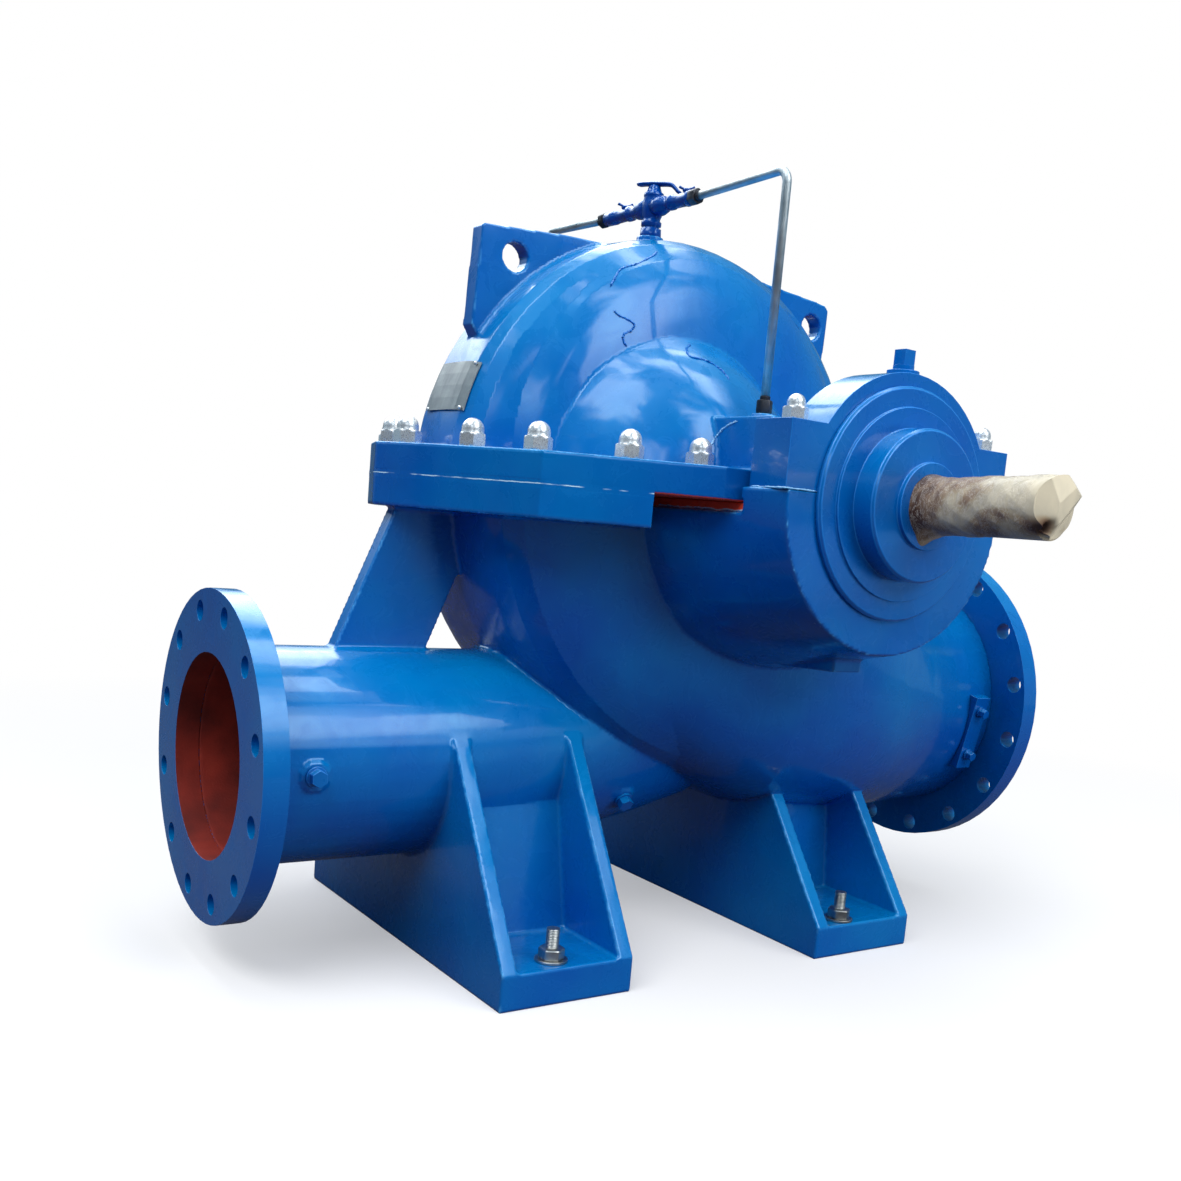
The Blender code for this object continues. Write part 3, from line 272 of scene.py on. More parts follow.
def brushwork_group():
    """Brushed paint: broad mottling, lighter on faces turned up and deeper on faces turned down as painted
    light and shade, paler on proud edges as thinned paint and a painted highlight, hanging streaks and a
    fine orange peel.
    """
    group, given, result = new_group(
        "brushwork",
        [("Bright", COLOR, (*ENAMEL_BRIGHT, 1.0)), ("Deep", COLOR, (*ENAMEL_DEEP, 1.0)),
         ("Edge", COLOR, (*ENAMEL_EDGE_AND_GLINT, 1.0)), ("Streaks", FLOAT, 1.0)],
        [("Color", COLOR), ("Roughness", FLOAT), ("Height", FLOAT)])
    place = object_place(group)
    broad = noise(group, place, 5.0, 3.0)
    # painted light and shade: faces turned up lean to the bright blue, faces turned down to the deep blue
    painted_top_light = spread(group, facing_up(group), -0.5, 0.9, -0.25, 0.65)
    patch = math_node(group, "ADD", spread(group, broad, 0.3, 0.7, 0.0, 0.55), painted_top_light, True)
    paint = blend(group, patch, given["Deep"], given["Bright"])
    ridge = add_node(group, "Attribute", attribute_name="ridge").outputs["Fac"]
    # proud edges paler: partly paint thinned on the edge, partly a painted highlight
    worn_and_glint = times(group, ridge, spread(group, noise(group, place, 70.0, 3.0), 0.44, 0.64))
    smear = noise(group, place, 22.0, 6.0, Roughness=0.65, Distortion=0.8)
    hanging = add_node(group, "Mapping", {"Vector": place, "Scale": (26.0, 26.0, 4.0)})
    streak = noise(group, hanging.outputs[0], 1.0, 3.0, Distortion=0.4)
    dents = times(group, noise(group, place, 9.0, 2.0), 2.4)
    waves = times(group, plus(group, streak, dents), given["Streaks"])
    peel = times(group, noise(group, place, 160.0, 2.0), 0.07)
    fill(group, result, {"Color": blend(group, worn_and_glint, paint, given["Edge"]),
                         "Roughness": spread(group, smear, 0.36, 0.64, 0.15, 0.4),
                         "Height": plus(group, waves, peel)})
    return group


BRUSHWORK = brushwork_group()


def opened(material):
    """A material's node tree, its Principled shader and the socket that colours it, if one does."""
    tree = material.node_tree
    shader = tree.nodes["Principled BSDF"]
    links = shader.inputs["Base Color"].links
    return tree, shader, links[0].from_socket if links else None


def new_material(name):
    """A new material, its node tree and its Principled shader."""
    material = bpy.data.materials.new(name)
    material.use_nodes = True
    return material, *opened(material)[:2]


def bump(tree, strength, distance, height):
    """A normal bent by height, in units of distance."""
    return add_node(tree, "Bump",
                    {"Strength": strength, "Distance": distance, "Height": height}).outputs[0]


def enamel(name, bright=ENAMEL_BRIGHT, deep=ENAMEL_DEEP, streaks=1.0, depth=0.0016):
    """Glossy brushed enamel in the two given blues, with streaks of that strength and depth."""
    material, tree, shader = new_material(name)
    blues = {"Bright": bright, "Deep": deep}
    paint = add_node(tree, "Group", {**blues, "Streaks": streaks}, node_tree=BRUSHWORK).outputs
    fill(tree, shader, {"Base Color": paint["Color"], "Roughness": paint["Roughness"],
                        "Normal": bump(tree, 0.6, depth, paint["Height"]),
                        "Specular IOR Level": 0.5, "Specular Tint": (0.3, 0.75, 1.0),
                        "Coat Weight": COAT_WEIGHT, "Coat Roughness": 0.06})
    return material


MACHINED_ENAMEL = enamel("machined_enamel", streaks=0.35, depth=0.0006)


def primer_material():
    """Red-brown primer: dull, blotched, with a grainy surface."""
    material, tree, shader = new_material("red_primer")
    place = object_place(tree)
    blotch = noise(tree, place, 14.0, 5.0)
    color = ramp(tree, blotch,
                 [(0.3, (0.1, 0.01, 0.007)), (0.55, (0.24, 0.022, 0.013)), (0.75, (0.33, 0.04, 0.022))])
    fill(tree, shader, {"Base Color": color, "Roughness": 0.75,
                        "Normal": bump(tree, 0.4, 0.0008, noise(tree, place, 400.0, 2.0))})
    return material


PRIMER = primer_material()
# two reds for bare primer, far lighter than the primer's own: painted light against the shade in the notches
# and under the flange
PRIMER_WITH_PAINTED_LIGHT = ((0.46, 0.04, 0.018), (0.85, 0.085, 0.04))


def own_place(tree):
    """Place relative to the pump's centre as X and Y without their signs, and Z: the same at all four
    corners of the split flange."""
    own = add_node(tree, "VectorMath", {0: object_place(tree), 1: tuple(CENTRE)},
                   operation="SUBTRACT")
    x, y, z = parts(tree, own.outputs["Vector"])
    return size_of(tree, x), size_of(tree, y), z


def show_primer_above(material):
    """Lets the primer show on the underside of the upper split flange, over the notches, in the lighter
    red that is painted light against the shade there.
    """
    tree, shader, painted = opened(material)
    across, along, _ = own_place(tree)
    zone = times(tree, spread(tree, facing_up(tree), -0.45, -0.65), spread(tree, along, 0.2, 0.205))
    zone = times(tree, zone, spread(tree, across, 0.292, 0.288))
    fill(tree, shader, {"Base Color": blend(tree, zone, painted, PRIMER_WITH_PAINTED_LIGHT[1]),
                        "Coat Weight": spread(tree, zone, 0.0, 1.0, COAT_WEIGHT, 0.0)})


def show_primer(material, low=0.6035, high=0.6175):
    """Lets the primer show on the notch walls between the split flange and the bearing brackets, where
    the brush never reached: between the heights low and high, its lower edge torn and rising away from
    the flange. The red there is lightened as painted light against the shade. The paint's broken rim
    along that edge is thick, and drawn pale as a painted highlight on it."""
    tree, shader, painted = opened(material)
    across, along, level = own_place(tree)
    zone = times(tree, spread(tree, across, 0.242, 0.24), spread(tree, along, 0.21, 0.214))
    zone = times(tree, zone, spread(tree, along, 0.355, 0.3535))
    torn = noise(tree, object_place(tree), 95.0, 4.0)
    ragged = plus(tree, level, times(tree, plus(tree, torn, -0.5), 0.006))
    lip = spread(tree, across, 0.285, 0.215, low - 0.0025, low + 0.0035)
    above = math_node(tree, "SUBTRACT", ragged, lip)
    bare = times(tree, spread(tree, above, -0.0003, 0.0003), spread(tree, level, high + 0.0006, high))
    bare = times(tree, bare, zone)
    # pale rim at the primer's lower edge: thick paint and a painted highlight
    rim = times(tree, spread(tree, size_of(tree, plus(tree, above, 0.0008)), 0.0011, 0.0005), zone)
    rimmed = blend(tree, times(tree, rim, 0.85), painted, (0.52, 0.72, 0.9))
    red = blend(tree, torn, PRIMER_WITH_PAINTED_LIGHT[0], PRIMER_WITH_PAINTED_LIGHT[1])
    fill(tree, shader, {"Base Color": blend(tree, bare, rimmed, red),
                        "Coat Weight": spread(tree, bare, 0.0, 1.0, COAT_WEIGHT, 0.0)})


# The two halves of the casing are sand castings, the lower one with its branches, web and feet, the
# upper one with its lifting lugs. Every inside corner is a fillet and every outer edge is eased.
CAST_VOXEL = 0.003
FILLET_RADIUS = 0.008
CAST_TRIANGLES = 188000
JOINT_HEIGHT = 0.616


def welded_copy(name, members):
    """One mesh object holding those CAD nodes' solids, their loose triangles joined at the corners."""
    bm = bmesh.new()
    for member in members:
        bm.from_mesh(nodes[member].data)
    bmesh.ops.remove_doubles(bm, verts=bm.verts, dist=1e-5)
    mesh = bpy.data.meshes.new(name)
    bm.to_mesh(mesh)
    bm.free()
    return new_object(name, mesh)


def modify(piece, kind, **settings):
    """The piece's mesh becomes what a modifier of that kind, with those settings, makes of it."""
    modifier = piece.modifiers.new(kind, kind)
    for field, value in settings.items():
        setattr(modifier, field, value)
    graph = bpy.context.evaluated_depsgraph_get()
    mesh = bpy.data.meshes.new_from_object(piece.evaluated_get(graph))
    piece.modifiers.clear()
    piece.data = mesh
    mesh.name = piece.name


def read_array(items, field, width):
    """One field of all a mesh's items, as a (count, width) array."""
    values = np.empty(len(items) * width, dtype=np.int64 if field == "vertices" else float)
    items.foreach_get(field, values)
    return values.reshape(-1, width)


def mesh_arrays(mesh):
    """Points (n, 3), edges (m, 2) and how many edges meet at each point."""
    edges = read_array(mesh.edges, "vertices", 2)
    valence = np.bincount(edges.ravel(), minlength=len(mesh.vertices)).astype(float)
    return read_array(mesh.vertices, "co", 3), edges, np.maximum(valence, 1.0)


def around(edges, count, values, weight=1.0):
    """For each of count points, the sum over its edges of the far point's values times the edge's
    weight."""
    near, far = edges.T
    return np.stack([np.bincount(near, weight * values[far, k], count)
                     + np.bincount(far, weight * values[near, k], count) for k in range(3)], axis=1)


def pull(points, edges, valence):
    """For each point, the way to the mean of its neighbours."""
    return around(edges, len(points), points) / valence[:, None] - points


def point_normals(mesh):
    """The mesh's unit normals at its points, as an (n, 3) array."""
    return read_array(mesh.vertex_normals, "vector", 3)


def move_points(mesh, points):
    """Puts the mesh's points at those places."""
    mesh.vertices.foreach_set("co", points.ravel())
    mesh.update()


def fill_corners(mesh, voxel, radius, passes=4, steps=7):
    """Evens out a voxel mesh, then lifts its hollow corners into fillets.

    Evening moves each point 0.5 of its pull and then -0.53 of it, which takes off ripples and keeps
    the size. A point is hollow where its pull runs along its normal by more than voxel / (4 radius)
    of a voxel, the curvature of the wanted fillet; only those points then follow their pull.
    """
    points, edges, valence = mesh_arrays(mesh)
    for share in (0.5, -0.53) * 3:
        points += share * pull(points, edges, valence)
    limit = voxel / (4 * radius)
    for _ in range(passes):
        move_points(mesh, points)
        normals = point_normals(mesh)
        for _ in range(steps):
            way = pull(points, edges, valence)
            hollow = np.einsum("ij,ij->i", way, normals) / voxel
            points += 0.6 * np.clip((hollow - limit) / limit, 0, 1)[:, None] * way
    move_points(mesh, points)


def mark_ridges(mesh, sharpest=0.16):
    """Stores how far each point stands proud of its neighbours, as the attribute ridge from 0 to 1:
    its pull against its normal, divided by the mean length of its edges. The joint between the two
    halves is filled and painted over, so it has none."""
    points, edges, valence = mesh_arrays(mesh)
    lengths = np.linalg.norm(points[edges[:, 0]] - points[edges[:, 1]], axis=1)
    reach = np.bincount(edges.ravel(), np.repeat(lengths, 2), len(points)) / valence
    proud = -np.einsum("ij,ij->i", pull(points, edges, valence), point_normals(mesh))
    ridge = np.clip((proud / np.maximum(reach, 1e-6) - 0.1) / sharpest, 0, 1)
    ridge[np.abs(points[:, 2] - JOINT_HEIGHT) < 0.008] = 0
    mesh.attributes.new("ridge", "FLOAT", "POINT").data.foreach_set("value", ridge)


def calm_normals(mesh, passes=60, spread_angle=4.5):
    """Gives the casting's curved faces an even sheen. Each point's normal is averaged again and again
    with its neighbours' normals, each weighted by exp(-(1 - cos of the angle between them) /
    (1 - cos of spread_angle)), so that shallow facets blend while real edges keep theirs."""
    edges = mesh_arrays(mesh)[1]
    near, far = edges.T
    normals = point_normals(mesh)
    limit = 1 - math.cos(math.radians(spread_angle))
    for _ in range(passes):
        alike = np.exp(-(1 - np.einsum("ij,ij->i", normals[near], normals[far])) / limit)
        normals = normals + around(edges, len(normals), normals, alike)
        normals /= np.linalg.norm(normals, axis=1)[:, None]
    mesh.normals_split_custom_set_from_vertices(normals.tolist())


def dress(piece, material):
    """Gives a piece one material."""
    piece.data.materials.clear()
    piece.data.materials.append(material)


def cast_piece(name, members, material):
    """A casting's skin over those CAD nodes: remeshed as one, filleted, thinned to its allowance, and
    brought back onto the CAD box's faces where the evening has moved it out."""
    piece = welded_copy(name, members)
    modify(piece, "REMESH", mode="VOXEL", voxel_size=CAST_VOXEL)
    fill_corners(piece.data, CAST_VOXEL, FILLET_RADIUS)
    share = CAST_TRIANGLES / (2 * len(piece.data.polygons))
    if share < 1:
        modify(piece, "DECIMATE", ratio=share)
    mark_ridges(piece.data)
    move_points(piece.data, np.clip(mesh_arrays(piece.data)[0], *cad_box))
    dress(piece, material)
    piece.data.shade_smooth()
    calm_normals(piece.data)
    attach(piece, "casing")
    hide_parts(*members)
    return piece


LOWER_ENAMEL = enamel("lower_cast_enamel")
show_primer(LOWER_ENAMEL)
lower_cast = cast_piece("lower_cast", ["lower_casing", "web_plate", "discharge_foot", "suction_foot"],
                        LOWER_ENAMEL)
UPPER_ENAMEL = enamel("upper_cast_enamel")
show_primer_above(UPPER_ENAMEL)
cast_piece("upper_cast", ["upper_casing", "lifting_lug_discharge", "lifting_lug_suction"], UPPER_ENAMEL)


# The joint between the two halves is filled flush and painted over. A hairline has opened in the paint
# here and there, drawn pale as a painted highlight on its lip.
LEFT_CORNERS = ((-0.2896, -0.3039), (-0.4, -0.232), (-0.48, -0.07), (-0.5045, 0.0))
RIGHT_CORNERS = ((0.263, -0.3039), (0.33, -0.232), (0.4, -0.07), (0.42, 0.0))


def even_path(corners, step):
    """Points at about every step along the straight lines between corners, corners kept."""
    corners = np.array(corners, float)
    length = np.concatenate([[0], np.cumsum(np.linalg.norm(np.diff(corners, axis=0), axis=1))])
    at = np.union1d(np.linspace(0, length[-1], max(2, int(length[-1] / step))), length)
    return np.stack([np.interp(at, length, corners[:, k]) for k in range(corners.shape[1])], axis=1)


def swept_grid(path, section, scale=None, up=(0.0, 0.0, 1.0)):
    """Points of a section carried along a path: section's first column lies along the path's direction
    crossed with up, its second along the remaining way, both times scale at each path point."""
    way = np.gradient(path, axis=0)
    way /= np.linalg.norm(way, axis=1)[:, None]
    side = np.cross(way, np.broadcast_to(up, way.shape))
    side /= np.linalg.norm(side, axis=1)[:, None]
    rise = np.cross(side, way)
    scale = np.ones(len(path)) if scale is None else np.asarray(scale)
    flat = section[None, :, :] * scale[:, None, None]
    return path[:, None, :] + flat[..., :1] * side[:, None, :] + flat[..., 1:] * rise[:, None, :]


def grid_mesh(name, grids):
    """One mesh of closed surfaces. Each (rows, columns, 3) grid has its columns closed into a ring and
    its first and last rows closed by a face each."""
    points, faces, start = [], [], 0
    for grid in grids:
        rows, columns, _ = grid.shape
        row, column = np.meshgrid(np.arange(rows - 1), np.arange(columns), indexing="ij")
        after = (column + 1) % columns
        quads = np.stack([row * columns + column, row * columns + after,
                          (row + 1) * columns + after, (row + 1) * columns + column], axis=-1)
        faces += (quads.reshape(-1, 4) + start).tolist()
        faces += [(np.arange(columns)[::-1] + start).tolist(),
                  (np.arange((rows - 1) * columns, rows * columns) + start).tolist()]
        points.append(grid.reshape(-1, 3))
        start += rows * columns
    mesh = bpy.data.meshes.new(name)
    mesh.from_pydata(np.concatenate(points).tolist(), [], faces)
    return mesh


def surface_piece(name, grids, material, body="casing", sharp=None, replaced=None):
    """A new object of closed grid surfaces on a body, smooth but for edges over sharp degrees."""
    mesh = grid_mesh(name, grids)
    bm = bmesh.new()
    bm.from_mesh(mesh)
    bmesh.ops.recalc_face_normals(bm, faces=bm.faces)
    bm.to_mesh(mesh)
    bm.free()
    mesh.materials.append(material)
    mesh.shade_smooth()
    if sharp:
        mesh.set_sharp_from_angle(angle=math.radians(sharp))
    piece = new_object(name, mesh)
    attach(piece, body)
    if replaced:
        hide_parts(replaced)
    return piece


def hairline_enamel(name, height, color, width=0.0005):
    """Enamel with a broken hairline at one height, pale as a painted highlight on the crack's lip."""
    material = enamel(name, streaks=0.6)
    tree, shader, painted = opened(material)
    place = object_place(tree)
    level = plus(tree, parts(tree, place)[2], times(tree, noise(tree, place, 60.0, 3.0), 0.0016))
    near = spread(tree, size_of(tree, plus(tree, level, -height - 0.0008)), width * 1.6, width * 0.6)
    line = times(tree, near, spread(tree, noise(tree, place, 28.0, 2.0), 0.44, 0.54))
    fill(tree, shader, {"Base Color": blend(tree, line, painted, color)})
    return material


JOINT_ENAMEL = hairline_enamel("joint_enamel", JOINT_HEIGHT, (0.55, 0.78, 0.92))
FILLER_SECTION = ((-0.003, -0.0095), (-0.0009, -0.009), (0.0, -0.0045), (0.0003, 0.0),
                  (0.0, 0.0045), (-0.0009, 0.009), (-0.003, 0.0095))


def joint_filler(name, corners, outward):
    """A strip of filler over the joint, swept from one notch round the flange's corners to the other:
    19 mm high and 0.3 mm proud at the joint, and shaded as the flat face it is rubbed down to. outward
    is 1 where the outside lies at the path's right hand."""
    mirrored = [(x, -y) for x, y in corners[-2::-1]]
    path = CENTRE[:2] + even_path([*corners, *mirrored], 0.02)
    path = np.column_stack([path, np.full(len(path), JOINT_HEIGHT)])
    strip = surface_piece(name, [swept_grid(path, np.array(FILLER_SECTION) * (outward, 1.0))], JOINT_ENAMEL)
    face_on = swept_grid(path, np.tile((outward, 0.0), (len(FILLER_SECTION), 1))) - path[:, None, :]
    strip.data.normals_split_custom_set_from_vertices(face_on.reshape(-1, 3).tolist())


joint_filler("joint_filler_discharge", LEFT_CORNERS, -1.0)
joint_filler("joint_filler_suction", RIGHT_CORNERS, 1.0)


# The two pipe flanges, the bearing caps and the covers are machined and then painted, so that their
# edges are crisp: a small bevel in a paler blue, partly paint that the brush has thinned and partly a
# painted highlight on the edge. Both bores stay in primer.
DISCHARGE_AXIS = (CENTRE[1], 0.258)
SUCTION_AXIS = (CENTRE[1], 0.336)
# paler blue for bevelled edges: thinned paint and a painted highlight
EDGE_GLINT_ENAMEL = enamel("edge_thin_paint_and_glint", (0.05, 0.26, 0.68), (0.0, 0.13, 0.5), 0.3)


def paint_inside(piece, axis, radius, low_x, high_x, ends_too=False):
    """Primes a piece's faces that are nearer than radius to a bore's axis along X, and between two
    places on it. Faces that look along the axis are left, unless ends_too is set."""
    piece.data.materials.append(PRIMER)
    faces = piece.data.polygons
    middles, normals = read_array(faces, "center", 3), read_array(faces, "normal", 3)
    inside = np.hypot(middles[:, 1] - axis[0], middles[:, 2] - axis[1]) < radius
    inside &= (middles[:, 0] > low_x) & (middles[:, 0] < high_x)
    inside &= (np.abs(normals[:, 0]) < 0.6) | ends_too
    slots = np.empty(len(faces), dtype=np.int32)
    faces.foreach_get("material_index", slots)
    slots[inside] = len(piece.data.materials) - 1
    faces.foreach_set("material_index", slots)


def eased_piece(name, member, width):
    """A machined and painted piece over a CAD node: flat faces joined up, edges bevelled by width."""
    piece = welded_copy(name, [member])
    bm = bmesh.new()
    bm.from_mesh(piece.data)
    bmesh.ops.dissolve_limit(bm, angle_limit=math.radians(0.6), verts=bm.verts, edges=bm.edges)
    bm.to_mesh(piece.data)
    bm.free()
    piece.data.materials.append(MACHINED_ENAMEL)
    # the bevels take the paler edge blue: thinned paint and a painted highlight
    piece.data.materials.append(EDGE_GLINT_ENAMEL)
    modify(piece, "BEVEL", width=width, segments=2, limit_method="ANGLE",
           angle_limit=math.radians(32), material=1)
    piece.data.shade_smooth()
    piece.data.set_sharp_from_angle(angle=math.radians(50))
    modify(piece, "WEIGHTED_NORMAL", keep_sharp=True)
    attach(piece, "casing")
    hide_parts(member)
    return piece


paint_inside(lower_cast, DISCHARGE_AXIS, 0.1275, -0.62, -0.2, ends_too=True)
paint_inside(lower_cast, SUCTION_AXIS, 0.176, 0.44, 0.62, ends_too=True)
discharge_ring = eased_piece("discharge_ring", "discharge_flange", 0.0012)
suction_ring = eased_piece("suction_ring", "suction_flange", 0.0012)
paint_inside(discharge_ring, DISCHARGE_AXIS, 0.1262, -0.6245, -0.5)
paint_inside(suction_ring, SUCTION_AXIS, 0.1747, 0.5, 0.624)
for end in ("drive", "far"):
    eased_piece(f"cap_{end}", f"bearing_cap_{end}", 0.0016)
    eased_piece(f"cover_{end}", f"end_cover_{end}", 0.001)
    eased_piece(f"grease_fitting_{end}", f"grease_plug_{end}", 0.0008)
for plug in ("discharge_plug", "drain_plug", "gauge_plug_upper", "gauge_plug_lower", "gauge_pad"):
    eased_piece(f"{plug}_painted", plug, 0.0007)


# Beads of filler and runs of paint: a crack of filler down the shoulder, a run from it over the end
# dome, a drip from the vent, a bead where the gland housing meets the dome, and a line at the bearing
# housing's own joint. Those last two are coloured a pale blue as painted highlights along the crease
# and the joint.
RUN_ENAMEL = enamel("run_enamel", (0.0, 0.14, 0.52), (0.0, 0.09, 0.44), 0.3)
# pale blue beads: painted highlights along the housing crease and joint
BEAD_HIGHLIGHT_ENAMEL = enamel("pale_bead_highlight", (0.42, 0.7, 0.9), (0.08, 0.34, 0.7), 0.3)
VENT_DRIP = ((-0.0818, 0.0233, 0.943), (-0.0918, 0.0164, 0.9344), (-0.1202, 0.0109, 0.9181),
             (-0.1439, 0.0124, 0.9068), (-0.1577, 0.0059, 0.8917), (-0.1662, 0.0019, 0.8782))
SHOULDER_CRACK = ((-0.1668, -0.0112, 0.8496), (-0.1614, -0.0148, 0.8432), (-0.148, -0.0194, 0.839),
                  (-0.1399, -0.0216, 0.8344), (-0.1435, -0.0226, 0.8267), (-0.155, -0.0221, 0.819),
                  (-0.1552, -0.0237, 0.8102), (-0.1506, -0.0257, 0.8037))
DOME_RUN = ((-0.0618, -0.0422, 0.8207), (-0.0784, -0.0577, 0.8098), (-0.0841, -0.0738, 0.7992),
            (-0.0659, -0.0798, 0.7972), (-0.0526, -0.0879, 0.7915), (-0.0465, -0.0982, 0.7832),
            (-0.0451, -0.1096, 0.7727))
HOUSING_BEAD = ((-0.1106, -0.154, 0.6752), (-0.1025, -0.1545, 0.6834), (-0.0935, -0.1535, 0.6954),
                (-0.0915, -0.1614, 0.7041), (-0.0915, -0.174, 0.71), (-0.0915, -0.1903, 0.7145))
HOUSING_JOINT = ((-0.1168, -0.252, 0.6348), (-0.1168, -0.3152, 0.6348), (-0.066, -0.3152, 0.6348))
TOWARD_CAMERA = (0.13, 0.31, 0.94)


def smooth_path(points, steps=8):
    """A curve through the points: on each span a cubic whose slope at a point is half the way between
    that point's neighbours."""
    p = np.array(points, float)
    p = np.concatenate([[2 * p[0] - p[1]], p, [2 * p[-1] - p[-2]]])
    t = np.linspace(0, 1, steps, endpoint=False)[None, :, None]
    a, b, c, d = (p[k:len(p) - 3 + k, None, :] for k in range(4))
    curve = 0.5 * (2 * b + (c - a) * t + (2 * a - 5 * b + 4 * c - d) * t ** 2
                   + (3 * b - a - 3 * c + d) * t ** 3)
    return np.concatenate([curve.reshape(-1, p.shape[1]), p[-2:-1]])


def full_turn(columns):
    """That many even angles of one turn."""
    return np.linspace(0, 2 * math.pi, columns, endpoint=False)


def ring(radius, columns, flatness=1.0):
    """A round or flattened section of that many points."""
    turn = full_turn(columns)
    return np.stack([radius * np.cos(turn), radius * flatness * np.sin(turn)], axis=1)


def bead_scale(count, seed, ends=3, rough=0.35):
    """Sizes along a bead: random swellings, falling to nothing over its last few points."""
    sizes = 1 + rough * (np.random.default_rng(seed).random(count) * 2 - 1)
    from_end = np.minimum(np.arange(count), np.arange(count)[::-1])
    return sizes * np.clip(from_end / ends, 0.05, 1)


def bead(name, points, radius, material, seed, curved=True):
    """A bead of paint or filler, mostly sunk in the surface, that swells and thins at random."""
    path = even_path(smooth_path(points) if curved else points, 0.0022)
    path = path + np.random.default_rng(seed).normal(0, radius * 0.16, path.shape)
    grid = swept_grid(path, ring(radius, 10), bead_scale(len(path), seed), TOWARD_CAMERA)
    surface_piece(name, [grid], material)


bead("vent_drip", VENT_DRIP, 0.0013, RUN_ENAMEL, 5)
bead("shoulder_crack", SHOULDER_CRACK, 0.0014, RUN_ENAMEL, 6)
bead("dome_run", DOME_RUN, 0.0015, RUN_ENAMEL, 7)
bead("housing_bead", HOUSING_BEAD, 0.0014, BEAD_HIGHLIGHT_ENAMEL, 8)
bead("housing_joint_line", HOUSING_JOINT, 0.0011, BEAD_HIGHLIGHT_ENAMEL, 9, curved=False)


# The vent is a screwed cross of cast fittings with a small cock on each arm, all painted over
# thickly. Its lever is a flat strip, its outer end bent down, that turns on the stem. Profiles are
# (height, radius) along each part's own axis.
VENT_ENAMEL = enamel("vent_enamel", (0.0, 0.075, 0.38), (0.0, 0.03, 0.22))
VENT_AXIS = CENTRE[:2] + (-0.113, 0.0)
ARM_HEIGHT = 1.0193
ARM_LINE = np.array((*VENT_AXIS, ARM_HEIGHT))
NIPPLE_PROFILE = ((-0.041, 0.0145), (-0.0395, 0.015), (-0.029, 0.0142), (-0.0278, 0.0112),
                  (-0.0262, 0.0112), (-0.025, 0.014), (-0.0195, 0.014), (-0.018, 0.0118),
                  (-0.015, 0.0122), (-0.008, 0.015), (0.008, 0.015), (0.013, 0.013),
                  (0.015, 0.0138), (0.019, 0.0136), (0.0205, 0.0108), (0.0265, 0.0086),
                  (0.0298, 0.0078))
DRIVE_ARM = ((0.0, 0.013), (0.02, 0.0136), (0.03, 0.0112), (0.034, 0.0086), (0.04, 0.0084),
             (0.0425, 0.0102), (0.048, 0.0104), (0.05, 0.009), (0.064, 0.0088), (0.078, 0.009),
             (0.08, 0.01), (0.09, 0.0098), (0.093, 0.007))
FAR_ARM = ((0.0, 0.013), (0.019, 0.0138), (0.031, 0.0118), (0.035, 0.0092), (0.047, 0.009),
           (0.05, 0.0106), (0.057, 0.0106), (0.06, 0.009), (0.086, 0.0092), (0.088, 0.0102),
           (0.11, 0.01), (0.113, 0.007))
COCK_PROFILE = ((0.0, 0.0056), (0.0095, 0.0052), (0.0105, 0.006), (0.0125, 0.0052), (0.0135, 0.002))
WING_REACH = 0.0105
LEVER_LINE = ((-0.025, 1.0508), (-0.012, 1.0512), (0.008, 1.0512), (0.022, 1.0506),
              (0.029, 1.0466), (0.0345, 1.0418), (0.0385, 1.0392))
LEVER_TURN = math.radians(-54)
LEVER_SECTION = (0.0072, 0.0031)


def round_grid(radius, height):
    """Points about +Z through the origin, from the radius at each (row, column) and each row's height."""
    turn = full_turn(radius.shape[1])
    return np.stack([radius * np.cos(turn), radius * np.sin(turn),
                     np.broadcast_to(height[:, None], radius.shape)], axis=-1)


def turned_grid(profile, columns=28, sides=None):
    """Points of a shape turned about +Z through the origin; profile rows are (height, radius). With
    sides, the section is that many-sided, its corners held to 1.1 of its flats."""
    profile = np.array(profile, float)
    shape = np.ones(columns)
    if sides:
        folded = (full_turn(columns) + math.pi / sides) % (2 * math.pi / sides) - math.pi / sides
        shape = np.minimum(1 / np.cos(folded), 1.1)
    return round_grid(profile[:, 1:] * shape, profile[:, 0])


def laid(grid, place, axis=(0.0, 0.0, 1.0)):
    """The grid with its +Z turned to axis, and its origin moved to place."""
    turn = np.array(Vector(axis).to_track_quat("Z", "Y").to_matrix())
    return grid @ turn.T + np.array(place)


def lumps(grid, size, seed, waves=7):
    """The grid pushed in and out of shape by a sum of random sine waves, as thick paint does."""
    rng = np.random.default_rng(seed)
    for _ in range(waves):
        way, push = rng.normal(0, 160, 3), rng.normal(0, size / math.sqrt(waves), 3)
        grid = grid + np.sin(grid @ way + rng.uniform(0, 6.28))[..., None] * push
    return grid


def cock_wings(y, degrees):
    """The small two-winged key of an arm's cock: its plug and a strip bent up at both ends."""
    foot = ARM_LINE + (0, y, 0)
    along = np.linspace(-1, 1, 17)
    turn = math.radians(degrees)
    path = foot + np.stack([math.cos(turn) * WING_REACH * along, math.sin(turn) * WING_REACH * along,
                            0.0122 + 0.0032 * along ** 2], axis=1)
    width = 1.0 - 0.35 * (1 - along ** 2) + 0.1 * along
    return [laid(turned_grid(COCK_PROFILE, 16), foot), swept_grid(path, ring(0.0042, 12, 0.55), width)]


